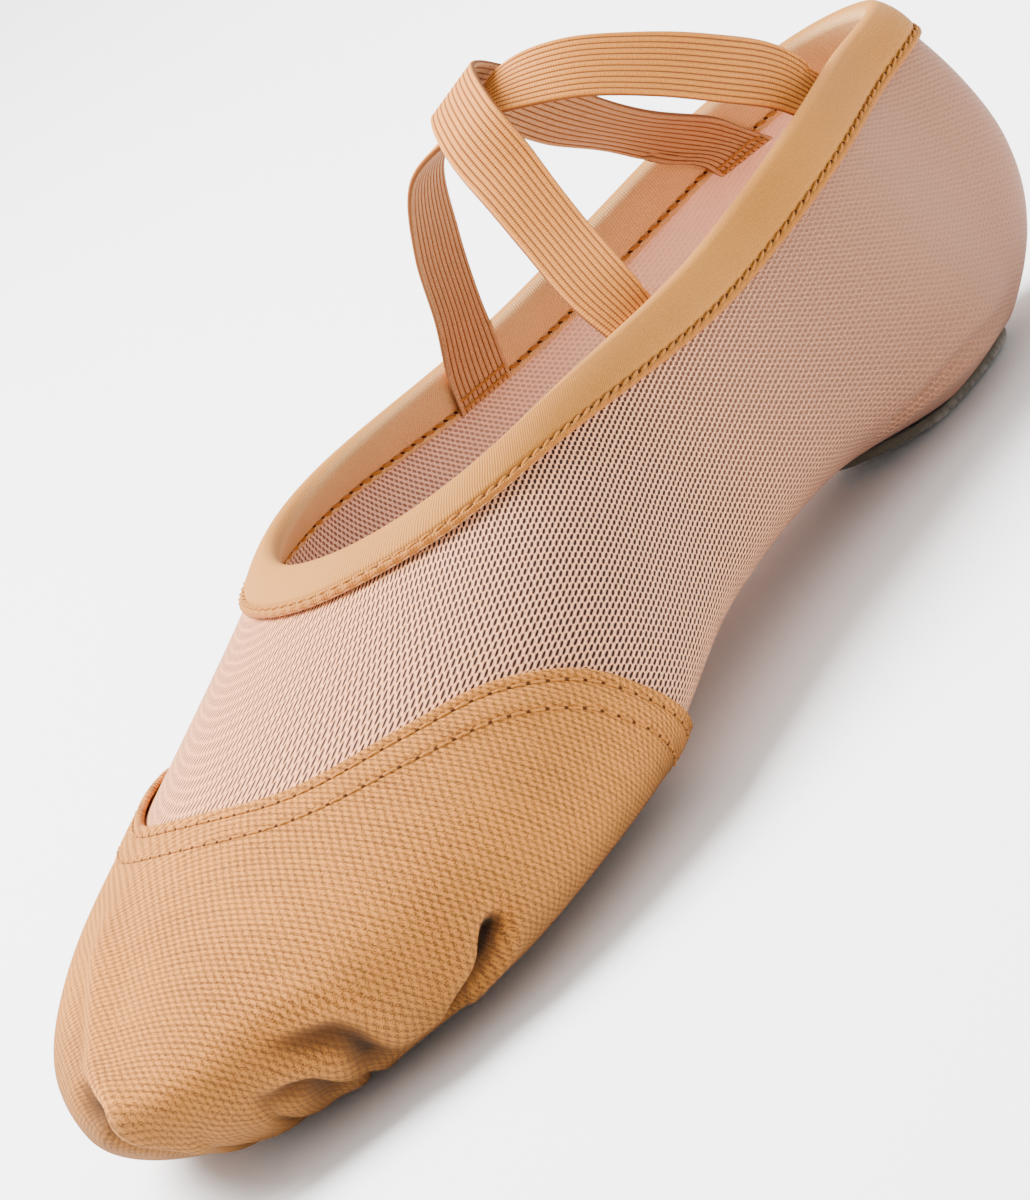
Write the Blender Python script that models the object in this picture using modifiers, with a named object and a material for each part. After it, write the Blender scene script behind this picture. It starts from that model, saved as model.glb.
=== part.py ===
"""Split-sole ballet shoe for the right foot.

Metres, +Z up, toe towards -Y, inner (medial) side towards +X. The shoe stands
empty on its two suede patches. Every piece is worked out from one last: a
table of sections, cut off at the collar line.
"""

import math

import bmesh
import bpy
import numpy as np

# Driving sizes of the shoe
LENGTH = 0.244
BALL_WIDTH = 0.0964
INSTEP_HEIGHT = 0.0837
COLLAR_HEIGHT = 0.0568
SEAT_HEIGHT = 0.0018

# Thicknesses, and the space between two pieces that touch, which their facets narrow
UPPER_WALL = 0.0011
CANVAS = 0.0008
JERSEY = 0.0008
TAPE_THICKNESS = 0.0011
TAPE_WIDTH = 0.0115
SUEDE = 0.0015
COTTON = 0.0010
CLEARANCE = 0.0005

# How far each face stands outside the last
UPPER_FACE = -0.0002
UPPER_LINING = UPPER_FACE - UPPER_WALL
CANVAS_FACE = UPPER_FACE + CLEARANCE + CANVAS
SUEDE_FACE = UPPER_FACE + CLEARANCE + SUEDE
COTTON_FACE = UPPER_LINING - 1.5 * CLEARANCE
BINDING_OUTER = UPPER_FACE + CLEARANCE + JERSEY
BINDING_INNER = UPPER_LINING - CLEARANCE - JERSEY
BINDING_WIDTH = 0.0100

# Exponents of the superellipse above and below the widest height
ROUND_ABOVE = 2.1
ROUND_BELOW = 2.7

# The last, heel to toe. along: share of the length from the heel. medial and
# lateral: share of the ball width, towards +X and -X. bottom, widest and top:
# heights as a share of the instep height. The first and last rows are points.
SECTION_COLUMNS = ("along", "medial", "lateral", "bottom", "widest", "top")
SECTIONS = (
    (0.0000, 0.036, 0.036, 0.421, 0.421, 0.421),
    (0.0295, 0.172, -0.131, 0.146, 0.374, 0.720),
    (0.1033, 0.230, -0.215, 0.021, 0.259, 0.882),
    (0.1844, 0.285, -0.251, 0.021, 0.240, 0.994),
    (0.3070, 0.291, -0.334, 0.091, 0.293, 1.000),
    (0.4627, 0.360, -0.417, 0.091, 0.292, 0.880),
    (0.6111, 0.478, -0.492, 0.021, 0.241, 0.673),
    (0.7480, 0.507, -0.493, 0.021, 0.174, 0.535),
    (0.8533, 0.425, -0.418, 0.021, 0.186, 0.437),
    (0.9398, 0.289, -0.204, 0.088, 0.223, 0.354),
    (1.0000, 0.120, 0.120, 0.268, 0.268, 0.268),
)

# The collar line seen from the side: share of the length, share of its height
COLLAR_COLUMNS = ("along", "height")
COLLAR = (
    (0.000, 1.000),
    (0.149, 1.011),
    (0.317, 0.952),
    (0.485, 0.989),
    (0.618, 0.981),
)

# The rear edge of the canvas seen from the side, from the vamp to the floor
CANVAS_EDGE_COLUMNS = ("y", "height")
CANVAS_EDGE = (
    (-0.0735, 0.0415),
    (-0.0690, 0.0398),
    (-0.0570, 0.0386),
    (-0.0450, 0.0362),
    (-0.0350, 0.0300),
    (-0.0280, 0.0212),
    (-0.0210, 0.0105),
    (-0.0140, 0.0020),
)

# Suede patches in plan: centre, half width, half length, superellipse exponent
PATCH_COLUMNS = ("x", "y", "half_width", "half_length", "exponent")
FOREFOOT_PATCH = (-0.0010, -0.0510, 0.0280, 0.0370, 2.3)
HEEL_PATCH = (0.0005, 0.0825, 0.0140, 0.0225, 2.3)
PATCH_SEAM = 0.0060
INSOLE_MARGIN = -0.0035

# The tapes: centre, and the direction across the tape towards the heel. Their
# ends hang from the inside of the binding, and are worked out from its wall.
TAPE_COLUMNS = ("x", "y", "z", "across_x", "across_y", "across_z")
TAPE_OVER = (
    (0.0186, 0.0297, 0.0600, 0.287, 0.937, -0.148),
    (0.0120, 0.0337, 0.0688, 0.300, 0.931, -0.178),
    (0.0060, 0.0376, 0.0782, 0.401, 0.774, -0.069),
    (0.0001, 0.0416, 0.0868, 0.946, 0.852, 0.329),
    (-0.0078, 0.0495, 0.0903, 0.654, 0.409, 0.297),
    (-0.0098, 0.0568, 0.0852, 0.656, 0.335, 0.283),
    (-0.0091, 0.0648, 0.0745, 0.877, 0.458, 0.387),
    (-0.0103, 0.0755, 0.0644, 1.505, 0.467, 0.364),
)
TAPE_UNDER = (
    (0.0156, 0.0851, 0.0609, -0.151, 0.698, 0.657),
    (0.0156, 0.0759, 0.0693, -0.123, 0.647, 0.684),
    (0.0132, 0.0670, 0.0771, -0.251, 0.711, 0.668),
    (0.0076, 0.0584, 0.0840, -0.427, 0.884, 0.718),
    (-0.0009, 0.0517, 0.0869, -0.325, 0.550, 0.217),
    (-0.0095, 0.0467, 0.0853, -0.401, 0.879, -0.033),
    (-0.0175, 0.0430, 0.0814, -0.334, 1.036, -0.130),
    (-0.0222, 0.0400, 0.0709, -0.151, 0.960, -0.191),
    (-0.0245, 0.0373, 0.0602, -0.120, 0.996, -0.160),
)
ANCHOR_COLUMNS = ("y", "z")
TAPE_INSET = BINDING_INNER - 1.5 * CLEARANCE - TAPE_THICKNESS / 2
OVER_ANCHORS = (((0.0270, 0.0470), (0.0285, 0.0530)), ((0.0915, 0.0530), (0.0965, 0.0470)))
UNDER_ANCHORS = (((0.0935, 0.0470), (0.0900, 0.0535)), ((0.0365, 0.0530), (0.0358, 0.0465)))

# Mesh fineness
COLUMNS = 64
RINGS = 17
PATH_STEPS = 90
DENSE = 3000
TAPE_STEPS = 48
PATCH_SIDES = 32
EDGE_STEPS = 24
OPENING_DEPTH = 0.012
PAD_RINGS = (0.4, 0.75, 1.0)

# Where the rays that find a column start, and how its foot gathers at the middle
SPINE_HEIGHT = 0.024
SPINE_FROM_TOE = 0.045
SPINE_FROM_HEEL = 0.035
SOLE_LINE_SHARE = 0.72
RIM_CROWDING = 0.5
TOE_Y = -LENGTH / 2
HEEL_Y = LENGTH / 2


def place(share):
    """The Y of a share of the length from the heel."""
    return HEEL_Y - np.asarray(share) * LENGTH


def through_rows(rows, before, after, count):
    """A Catmull-Rom curve through table rows, given the rows beyond both ends."""
    knots = np.vstack([before, rows, after])
    position = np.linspace(0, len(rows) - 1, count)
    first = np.minimum(position.astype(int), len(rows) - 2)
    share = (position - first)[:, None]
    a, b, c, d = (knots[first + step] for step in range(4))
    return 0.5 * (
        2 * b
        + (c - a) * share
        + (2 * a - 5 * b + 4 * c - d) * share**2
        + (3 * b - a - 3 * c + d) * share**3
    )


def open_curve(rows, count):
    """A curve through rows that runs straight out at both ends."""
    rows = np.asarray(rows, dtype=float)
    return through_rows(rows, 2 * rows[0] - rows[1], 2 * rows[-1] - rows[-2], count)


def dense_sections():
    """The last's sections in metres, finely spaced and sorted from toe to heel."""
    rows = np.array(SECTIONS)
    rows[:, 0] = place(rows[:, 0])
    rows[:, 1:3] *= BALL_WIDTH
    rows[:, 3:] *= INSTEP_HEIGHT
    past_pole = [0, 2, 1, 5, 4, 3]
    dense = through_rows(rows, rows[1][past_pole], rows[-2][past_pole], DENSE)
    dense[:, 3] = np.maximum(dense[:, 3], SEAT_HEIGHT)
    return dense[::-1]


LAST = dense_sections()


def section(y):
    """Centre, half width, bottom, widest and top height of the last at y."""
    medial, lateral, bottom, widest, top = (
        np.interp(y, LAST[:, 0], LAST[:, column]) for column in range(1, 6)
    )
    return (medial + lateral) / 2, (medial - lateral) / 2, bottom, widest, top


def fullness(points):
    """Under 1 inside the last, 1 on its surface and over 1 outside."""
    x, y, z = np.moveaxis(points, -1, 0)
    centre, half, bottom, widest, top = section(y)
    tiny = 1e-6
    across = np.abs(x - centre) / np.maximum(half, tiny)
    above = z >= widest
    reach = np.maximum(np.where(above, top - widest, widest - bottom), tiny)
    power = np.where(above, ROUND_ABOVE, ROUND_BELOW)
    return across**power + (np.abs(z - widest) / reach) ** power


def outward(points):
    """Unit normals of the last at points on or near its surface."""
    step = 2e-5
    slope = np.stack(
        [fullness(points + move) - fullness(points - move) for move in np.eye(3) * step],
        axis=-1,
    )
    return slope / np.linalg.norm(slope, axis=-1, keepdims=True)


def onto_last(origins, directions):
    """Where rays from inside the last leave it, by halving the interval."""
    near = np.zeros(directions.shape[:-1])
    far = np.full(directions.shape[:-1], LENGTH)
    for _ in range(40):
        middle = (near + far) / 2
        inside = fullness(origins + directions * middle[..., None]) < 1
        near = np.where(inside, middle, near)
        far = np.where(inside, far, middle)
    return origins + directions * near[..., None]


def off_sole(plan, height):
    """Points under the last at plan positions, moved off it but not below the floor."""
    x, y = plan[:, 0], plan[:, 1]
    centre, half, bottom, widest, _ = section(y)
    across = np.clip(np.abs(x - centre) / half, 0, 1)
    z = widest - (widest - bottom) * (1 - across**ROUND_BELOW) ** (1 / ROUND_BELOW)
    points = stand_off(np.stack([x, y, z], axis=-1), np.full(len(x), height))
    points[:, 2] = np.maximum(points[:, 2], 0.0)
    return points


def wall_x(y, z, side):
    """X of the last's side wall at a height above its widest line."""
    centre, half, _, widest, top = section(y)
    rise = np.clip((z - widest) / (top - widest), 0, 1)
    return centre + side * half * (1 - rise**ROUND_ABOVE) ** (1 / ROUND_ABOVE)


def collar_height(y):
    rows = np.array(COLLAR)
    curve = open_curve(rows, DENSE)[::-1]
    return np.interp(y, place(curve[:, 0]), curve[:, 1] * COLLAR_HEIGHT)


def where_collar_meets_ridge(inside, outside):
    """Y where the collar line reaches the top of the last, between two Ys."""
    for _ in range(40):
        middle = (inside + outside) / 2
        if collar_height(middle) < section(middle)[4]:
            inside = middle
        else:
            outside = middle
    return inside


def collar_line(side):
    """The collar from throat to heel along one side, with its arc lengths."""
    throat = where_collar_meets_ridge(0.0, place(0.7))
    back = where_collar_meets_ridge(place(0.15), HEEL_Y)
    turn = np.linspace(0, math.pi, 400)
    y = (throat + back) / 2 - (back - throat) / 2 * np.cos(turn)
    z = collar_height(y)
    line = np.stack([wall_x(y, z, side), y, z], axis=-1)
    run = np.r_[0, np.cumsum(np.linalg.norm(np.diff(line, axis=0), axis=1))]
    return line, run / run[-1]


def plan_stations(share):
    """Y on the last's plan outline at equal shares of its arc, toe to heel."""
    y = LAST[:, 0]
    half = (LAST[:, 1] - LAST[:, 2]) / 2
    run = np.r_[0, np.cumsum(np.hypot(np.diff(y), np.diff(half)))]
    return np.interp(share, run / run[-1], y)


def between(share, start, middle, end, bend):
    """Directions that pass from start through middle (at bend) to end."""
    share = share[..., None]
    bend = bend[..., None]
    blend = (
        start * (share - bend) * (share - 1) / bend
        + middle * share * (share - 1) / (bend * (bend - 1))
        + end * share * (share - bend) / (1 - bend)
    )
    return blend / np.linalg.norm(blend, axis=-1, keepdims=True)


def unit(vectors):
    return vectors / np.linalg.norm(vectors, axis=-1, keepdims=True)


def columns(stations):
    """Paths on the last from the collar, out and down, to the sole's middle.

    A station is 0 at the toe and 1 at the heel, positive on the medial side and
    negative on the lateral side. Returns the points and the distance from the
    collar, one row for each station.
    """
    stations = np.asarray(stations, dtype=float)
    share = np.abs(stations)
    side = np.where(stations < 0, -1.0, 1.0)
    y = plan_stations(share)
    centre, half, _, widest, _ = section(y)
    spine_y = np.clip(y, TOE_Y + SPINE_FROM_TOE, HEEL_Y - SPINE_FROM_HEEL)
    spine = np.stack([section(spine_y)[0], spine_y, np.full_like(y, SPINE_HEIGHT)], axis=-1)
    edge = np.stack([centre + side * half, y, widest], axis=-1)
    sole_y = y * SOLE_LINE_SHARE
    sole_centre, _, sole_bottom, _, _ = section(sole_y)
    sole = np.stack([sole_centre, sole_y, sole_bottom], axis=-1)
    along_collar = (1 - RIM_CROWDING) * share + RIM_CROWDING * share**2
    rim = np.empty_like(edge)
    for sign in (-1.0, 1.0):
        line, run = collar_line(sign)
        chosen = side == sign
        for axis in range(3):
            rim[chosen, axis] = np.interp(along_collar[chosen], run, line[:, axis])
    start, middle, end = unit(rim - spine), unit(edge - spine), unit(sole - spine)
    turn_out = np.arccos(np.clip((start * middle).sum(axis=-1), -1, 1))
    turn_under = np.arccos(np.clip((middle * end).sum(axis=-1), -1, 1))
    bend = (turn_out / (turn_out + turn_under))[:, None]
    steps = np.linspace(0, 1, PATH_STEPS)[None]
    directions = between(
        np.broadcast_to(steps, (len(stations), PATH_STEPS)),
        start[:, None], middle[:, None], end[:, None], bend,
    )
    points = onto_last(spine[:, None], directions)
    hops = np.linalg.norm(np.diff(points, axis=1), axis=-1)
    distance = np.concatenate([np.zeros((len(stations), 1)), np.cumsum(hops, axis=1)], axis=1)
    return points, distance


def at_distance(paths, distance, wanted):
    """Points on each path at the wanted distances from the collar."""
    found = np.empty(wanted.shape + (3,))
    for row in range(len(paths)):
        for axis in range(3):
            found[row, :, axis] = np.interp(wanted[row], distance[row], paths[row, :, axis])
    return found


def spread(paths, distance, begin, end, count):
    """Distances from begin to end on each path, closer where the path bends."""
    normals = outward(paths)
    cosine = np.clip((normals[:, 1:] * normals[:, :-1]).sum(axis=-1), -1, 1)
    turn = np.concatenate([np.zeros((len(paths), 1)), np.cumsum(np.arccos(cosine), axis=1)], axis=1)
    measure = distance / distance[:, -1:] + turn / turn[:, -1:]
    wanted = np.empty((len(paths), count))
    for row in range(len(paths)):
        first, last = np.interp([begin[row], end[row]], distance[row], measure[row])
        wanted[row] = np.interp(np.linspace(first, last, count), measure[row], distance[row])
    return wanted


def stand_off(points, height):
    """Points moved outward from the last, or inward where height is negative."""
    return points + outward(points) * np.asarray(height)[..., None]


def ring_stations():
    """Stations all round the shoe: toe, medial side, heel, lateral side."""
    one_side = np.linspace(0, 1, COLUMNS // 2 + 1)
    return np.r_[one_side, -one_side[-2:0:-1]]


def new_collection(name):
    collection = bpy.data.collections.new(name)
    bpy.context.scene.collection.children.link(collection)
    return collection


def new_material(name, colour, roughness):
    material = bpy.data.materials.new(name)
    material.use_nodes = True
    shader = material.node_tree.nodes["Principled BSDF"]
    shader.inputs["Base Color"].default_value = (*colour, 1.0)
    shader.inputs["Roughness"].default_value = roughness
    shader.inputs["Metallic"].default_value = 0.0
    return material


def new_object(name, mesh, collection, material=None):
    obj = bpy.data.objects.new(name, mesh)
    collection.objects.link(obj)
    if material:
        mesh.materials.append(material)
        mesh.shade_smooth()
        mesh.set_sharp_from_angle(angle=math.radians(50))
    return obj


def grid_mesh(name, grid, closed_across=False, closed_along=False):
    """A sheet of quads through a grid of points, welded where points coincide."""
    rows, cells, _ = grid.shape
    bm = bmesh.new()
    verts = [[bm.verts.new(point) for point in row] for row in grid]
    for row in range(rows if closed_along else rows - 1):
        for cell in range(cells if closed_across else cells - 1):
            next_row, next_cell = (row + 1) % rows, (cell + 1) % cells
            corners = (
                verts[row][cell], verts[row][next_cell],
                verts[next_row][next_cell], verts[next_row][cell],
            )
            bm.faces.new(corners)
    bmesh.ops.remove_doubles(bm, verts=bm.verts, dist=1e-6)
    mesh = bpy.data.meshes.new(name)
    bm.to_mesh(mesh)
    bm.free()
    return mesh


def thicken(obj, thickness, offset):
    """Gives an open sheet its wall."""
    wall = obj.modifiers.new("wall", "SOLIDIFY")
    wall.thickness = thickness
    wall.offset = offset
    wall.use_even_offset = True
    return wall


def patch_outline(patch, margin, angles):
    """Plan outline of a patch, grown by a margin."""
    x, y, half_width, half_length, exponent = patch
    cosine, sine = np.cos(angles), np.sin(angles)
    power = 2 / exponent
    return np.stack(
        [
            x + (half_width + margin) * np.sign(cosine) * np.abs(cosine) ** power,
            y + (half_length + margin) * np.sign(sine) * np.abs(sine) ** power,
        ],
        axis=-1,
    )


def make_prism(name, outline, axis, reach, cutters):
    """A cutter: an outline in the plane across an axis, drawn out both ways."""
    bm = bmesh.new()
    rings = [
        [bm.verts.new(np.insert(corner, axis, level)) for corner in outline]
        for level in (-reach, reach)
    ]
    bm.faces.new(rings[0][::-1])
    bm.faces.new(rings[1])
    for first in range(len(outline)):
        second = (first + 1) % len(outline)
        bm.faces.new((rings[0][first], rings[0][second], rings[1][second], rings[1][first]))
    bmesh.ops.recalc_face_normals(bm, faces=bm.faces)
    mesh = bpy.data.meshes.new(name)
    bm.to_mesh(mesh)
    bm.free()
    cutter = new_object(name, mesh, cutters)
    cutter.hide_render = True
    cutter.display_type = "WIRE"
    return cutter


def cut_away(obj, cutter):
    cut = obj.modifiers.new(cutter.name, "BOOLEAN")
    cut.operation = "DIFFERENCE"
    cut.solver = "EXACT"
    cut.object = cutter


def make_sock(name, face, wall, collection, material):
    """One wall round the whole last, from under the binding to the sole's middle."""
    paths, distance = columns(ring_stations())
    legs = np.tile([JERSEY + CLEARANCE, BINDING_WIDTH / 2], (COLUMNS, 1))
    below = spread(paths, distance, np.full(COLUMNS, BINDING_WIDTH), distance[:, -1], RINGS)
    wanted = np.hstack([legs, below])
    grid = stand_off(at_distance(paths, distance, wanted), np.full(wanted.shape, face))
    grid[:, -1] = (grid[:, -1] + grid[(-np.arange(COLUMNS)) % COLUMNS, -1]) / 2
    sock = new_object(name, grid_mesh(name, grid, closed_along=True), collection, material)
    thicken(sock, wall, -1.0)
    return sock


def make_upper(collection, cutters, material):
    """The mesh sock, open under both patches inside their seam allowance."""
    upper = make_sock("upper", UPPER_FACE, UPPER_WALL, collection, material)
    angles = np.linspace(0, 2 * math.pi, PATCH_SIDES, endpoint=False)
    for name, patch in (("forefoot_opening", FOREFOOT_PATCH), ("heel_opening", HEEL_PATCH)):
        outline = patch_outline(patch, -PATCH_SEAM, angles)
        cut_away(upper, make_prism(name, outline, 2, OPENING_DEPTH, cutters))
    return upper


def make_toe_cap(collection, cutters, material):
    """The canvas over the toe: the sock's shape, cut off at its rear edge and patch."""
    cap = make_sock("toe_cap", CANVAS_FACE, CANVAS, collection, material)
    edge = open_curve(CANVAS_EDGE, EDGE_STEPS)
    clear_of_shoe = 0.5 * LENGTH + 0.01
    behind = np.vstack([
        [edge[0, 0], clear_of_shoe],
        edge,
        [edge[-1, 0], -clear_of_shoe],
        [clear_of_shoe, -clear_of_shoe],
        [clear_of_shoe, clear_of_shoe],
    ])
    cut_away(cap, make_prism("behind_canvas", behind, 0, clear_of_shoe, cutters))
    angles = np.linspace(0, 2 * math.pi, 2 * PATCH_SIDES, endpoint=False)
    outline = patch_outline(FOREFOOT_PATCH, CLEARANCE, angles)
    cut_away(cap, make_prism("canvas_opening", outline, 2, OPENING_DEPTH, cutters))
    return cap


def make_binding(collection, material):
    """The jersey strip folded over the collar, with a leg on each side."""
    outer_back = BINDING_OUTER - JERSEY
    inner_back = BINDING_INNER + JERSEY
    middle = (BINDING_OUTER + BINDING_INNER) / 2
    half_leg = BINDING_WIDTH / 2
    crown = JERSEY
    # Distance from the collar line, and height off the last
    profile = (
        (BINDING_WIDTH, outer_back), (half_leg, outer_back), (crown, outer_back),
        (crown, inner_back), (half_leg, inner_back), (BINDING_WIDTH, inner_back),
        (BINDING_WIDTH, BINDING_INNER), (half_leg, BINDING_INNER), (crown, BINDING_INNER),
        (0.25 * crown, BINDING_INNER + 0.4 * JERSEY), (0.0, middle),
        (0.25 * crown, BINDING_OUTER - 0.4 * JERSEY), (crown, BINDING_OUTER),
        (half_leg, BINDING_OUTER), (BINDING_WIDTH, BINDING_OUTER),
    )
    paths, distance = columns(ring_stations())
    wanted = np.tile([away for away, _ in profile], (COLUMNS, 1))
    height = np.tile([off for _, off in profile], (COLUMNS, 1))
    grid = stand_off(at_distance(paths, distance, wanted), height)
    mesh = grid_mesh("collar_binding", grid, closed_across=True, closed_along=True)
    return new_object("collar_binding", mesh, collection, material)


def tuck_inside(points, height):
    """Points below the collar, moved in until they stand no further out than height."""
    step = 2e-5
    slope = np.stack(
        [fullness(points + move) - fullness(points - move) for move in np.eye(3) * step],
        axis=-1,
    )
    steepness = np.linalg.norm(slope, axis=-1) / (2 * step)
    proud = (fullness(points) - 1) / steepness
    hidden = points[..., 2] < collar_height(points[..., 1]) + BINDING_OUTER
    return stand_off(points, np.where(hidden, np.minimum(height - proud, 0.0), 0.0))


def anchor_rows(anchors, side):
    """Tape rows that hang against the inner leg of the binding."""
    rows = []
    for y, z in anchors:
        on_wall = np.array([[wall_x(y, z, side), y, z]])
        normal = outward(on_wall)[0]
        across = unit(np.cross(normal, np.cross([0.0, 1.0, 0.0], normal)))
        rows.append((*(on_wall[0] + normal * TAPE_INSET), *across))
    return rows


def make_tape(name, rows, collection, material):
    """An elastic tape: a ribbon through its rows, then its thickness."""
    curve = open_curve(np.array(rows), TAPE_STEPS)
    centre, across = curve[:, :3], unit(curve[:, 3:])
    shares = np.linspace(-0.5, 0.5, 3)
    grid = centre[:, None] + across[:, None] * (shares[None, :, None] * TAPE_WIDTH)
    grid = tuck_inside(grid, TAPE_INSET)
    tape = new_object(name, grid_mesh(name, grid), collection, material)
    thicken(tape, TAPE_THICKNESS, 0.0)
    return tape


def make_pad(name, patch, margin, lower, upper, collection, material):
    """A pad of a patch's outline, between two heights off the last, cut flat at the floor."""
    angles = np.linspace(0, 2 * math.pi, PATCH_SIDES, endpoint=False)
    outline = patch_outline(patch, margin, angles)
    middle = np.array(patch[:2])
    bm = bmesh.new()
    sheets = []
    for height in (lower, upper):
        hub = bm.verts.new(off_sole(middle[None], height)[0])
        rings = []
        for share in PAD_RINGS:
            plan = middle + (outline - middle) * share
            rings.append([bm.verts.new(point) for point in off_sole(plan, height)])
        sheets.append((hub, rings))
    for first in range(PATCH_SIDES):
        second = (first + 1) % PATCH_SIDES
        for facing, (hub, rings) in zip((-1, 1), sheets):
            bm.faces.new((hub, rings[0][first], rings[0][second])[::facing])
            for inner, outer in zip(rings, rings[1:]):
                bm.faces.new((inner[first], outer[first], outer[second], inner[second])[::facing])
        lower, upper = sheets[0][1][-1], sheets[1][1][-1]
        bm.faces.new((lower[first], lower[second], upper[second], upper[first]))
    mesh = bpy.data.meshes.new(name)
    bm.to_mesh(mesh)
    bm.free()
    return new_object(name, mesh, collection, material)


def make_shoe():
    for obj in list(bpy.data.objects):
        bpy.data.objects.remove(obj, do_unlink=True)
    shoe = new_collection("ballet_shoe")
    cutters = new_collection("cutters")
    mesh_fabric = new_material("mesh_fabric", (0.56, 0.38, 0.33), 0.75)
    canvas = new_material("canvas", (0.60, 0.36, 0.19), 0.85)
    jersey = new_material("jersey", (0.63, 0.38, 0.20), 0.70)
    elastic = new_material("elastic", (0.60, 0.34, 0.17), 0.70)
    suede = new_material("suede", (0.30, 0.27, 0.22), 0.95)
    cotton = new_material("cotton", (0.66, 0.50, 0.40), 0.85)
    make_upper(shoe, cutters, mesh_fabric)
    make_toe_cap(shoe, cutters, canvas)
    make_binding(shoe, jersey)
    over = anchor_rows(OVER_ANCHORS[0], 1) + list(TAPE_OVER) + anchor_rows(OVER_ANCHORS[1], -1)
    under = anchor_rows(UNDER_ANCHORS[0], 1) + list(TAPE_UNDER) + anchor_rows(UNDER_ANCHORS[1], -1)
    make_tape("strap_over", over, shoe, elastic)
    make_tape("strap_under", under, shoe, elastic)
    for name, patch in (("forefoot", FOREFOOT_PATCH), ("heel", HEEL_PATCH)):
        make_pad(f"{name}_sole", patch, 0.0, SUEDE_FACE, SUEDE_FACE - SUEDE, shoe, suede)
        make_pad(f"{name}_insole", patch, INSOLE_MARGIN, COTTON_FACE, COTTON_FACE - COTTON, shoe, cotton)


make_shoe()
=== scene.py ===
# %% [markdown]
# A soft ballet shoe. It has a stretch mesh upper, a canvas toe cap gathered
# under the toe, a folded jersey binding, two crossed elastic tapes and two suede
# patches. The solids of the frame give the size and the place of each of them.
# Here every piece is made again as fine cloth, from the same shoe last.

import math

import bpy
import numpy as np
from mathutils import Matrix, Vector


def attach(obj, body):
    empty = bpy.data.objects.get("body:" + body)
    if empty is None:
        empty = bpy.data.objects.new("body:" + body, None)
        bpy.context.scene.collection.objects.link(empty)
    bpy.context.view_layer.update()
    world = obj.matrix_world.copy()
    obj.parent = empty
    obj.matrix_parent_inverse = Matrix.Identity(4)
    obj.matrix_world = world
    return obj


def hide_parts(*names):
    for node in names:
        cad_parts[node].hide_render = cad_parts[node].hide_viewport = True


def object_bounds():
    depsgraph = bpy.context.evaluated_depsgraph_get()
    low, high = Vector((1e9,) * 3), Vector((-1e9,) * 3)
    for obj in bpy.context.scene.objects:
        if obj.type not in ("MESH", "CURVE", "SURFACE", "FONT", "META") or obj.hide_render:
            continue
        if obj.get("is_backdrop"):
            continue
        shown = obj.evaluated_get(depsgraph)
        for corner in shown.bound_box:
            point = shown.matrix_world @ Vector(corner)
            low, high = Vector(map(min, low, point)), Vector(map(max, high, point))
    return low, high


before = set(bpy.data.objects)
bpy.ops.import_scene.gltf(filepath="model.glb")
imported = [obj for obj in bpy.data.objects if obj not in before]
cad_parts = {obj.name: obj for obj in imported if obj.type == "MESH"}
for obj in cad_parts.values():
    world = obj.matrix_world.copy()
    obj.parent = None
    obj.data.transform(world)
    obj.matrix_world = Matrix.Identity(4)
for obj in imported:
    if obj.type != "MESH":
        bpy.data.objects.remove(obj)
cad_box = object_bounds()
print("solids:", sorted(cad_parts))

# %% [markdown]
# The camera looks at the inner side of the shoe from the front, a little from
# above, and is rolled so that the toe hangs down to the left. The shoe could be
# tilted instead, but then it wouldn't stand on its floor. A long lens keeps the
# perspective flat, and the small shift puts the shoe where the picture has it.

# %% Camera
IMAGE_HEIGHT = 1200
CAMERA_TURN = math.radians(54.8)
CAMERA_RISE = math.radians(15.4)
CAMERA_ROLL = math.radians(36.4)
CAMERA_DISTANCE = 0.951
CAMERA_AIM = Vector((0.0, 0.0, 0.030))
FOCAL_PIXELS = 6217.7
CENTRE_RIGHT, CENTRE_UP = 10.0, 24.1
SENSOR = 36.0
NEAREST, FURTHEST = 0.05, 20.0


def make_camera():
    data = bpy.data.cameras.new("camera")
    data.sensor_width = SENSOR
    data.lens = FOCAL_PIXELS * SENSOR / IMAGE_HEIGHT
    data.shift_x = -CENTRE_RIGHT / IMAGE_HEIGHT
    data.shift_y = -CENTRE_UP / IMAGE_HEIGHT
    data.clip_start = NEAREST
    data.clip_end = FURTHEST
    camera = bpy.data.objects.new("camera", data)
    bpy.context.scene.collection.objects.link(camera)
    back = Vector((
        math.sin(CAMERA_TURN) * math.cos(CAMERA_RISE),
        -math.cos(CAMERA_TURN) * math.cos(CAMERA_RISE),
        math.sin(CAMERA_RISE),
    ))
    level = Vector((math.cos(CAMERA_TURN), math.sin(CAMERA_TURN), 0.0))
    upright = back.cross(level)
    right = level * math.cos(CAMERA_ROLL) - upright * math.sin(CAMERA_ROLL)
    up = level * math.sin(CAMERA_ROLL) + upright * math.cos(CAMERA_ROLL)
    camera.matrix_world = Matrix.Translation(CAMERA_AIM + back * CAMERA_DISTANCE) @ Matrix(
        (right, up, back)
    ).transposed().to_4x4()
    bpy.context.scene.camera = camera
    return camera


camera = make_camera()
print("camera at", [round(v, 4) for v in camera.matrix_world.translation])

# %% [markdown]
# Every piece of cloth follows one last, the foot-shaped form that a shoe is made
# on. It could be sculpted, but a table of sections from heel to toe can be read
# and measured. Each section is a rounded oval that is flatter below than above,
# and its row is in shares of the length, ball width and instep height.

# %% The last
LENGTH = 0.244
BALL_WIDTH = 0.0964
INSTEP_HEIGHT = 0.0837
COLLAR_HEIGHT = 0.0568
SEAT_HEIGHT = 0.0018
ROUND_ABOVE, ROUND_BELOW = 2.1, 2.7
TOE_Y, HEEL_Y = -LENGTH / 2, LENGTH / 2
MM = 0.001

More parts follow.
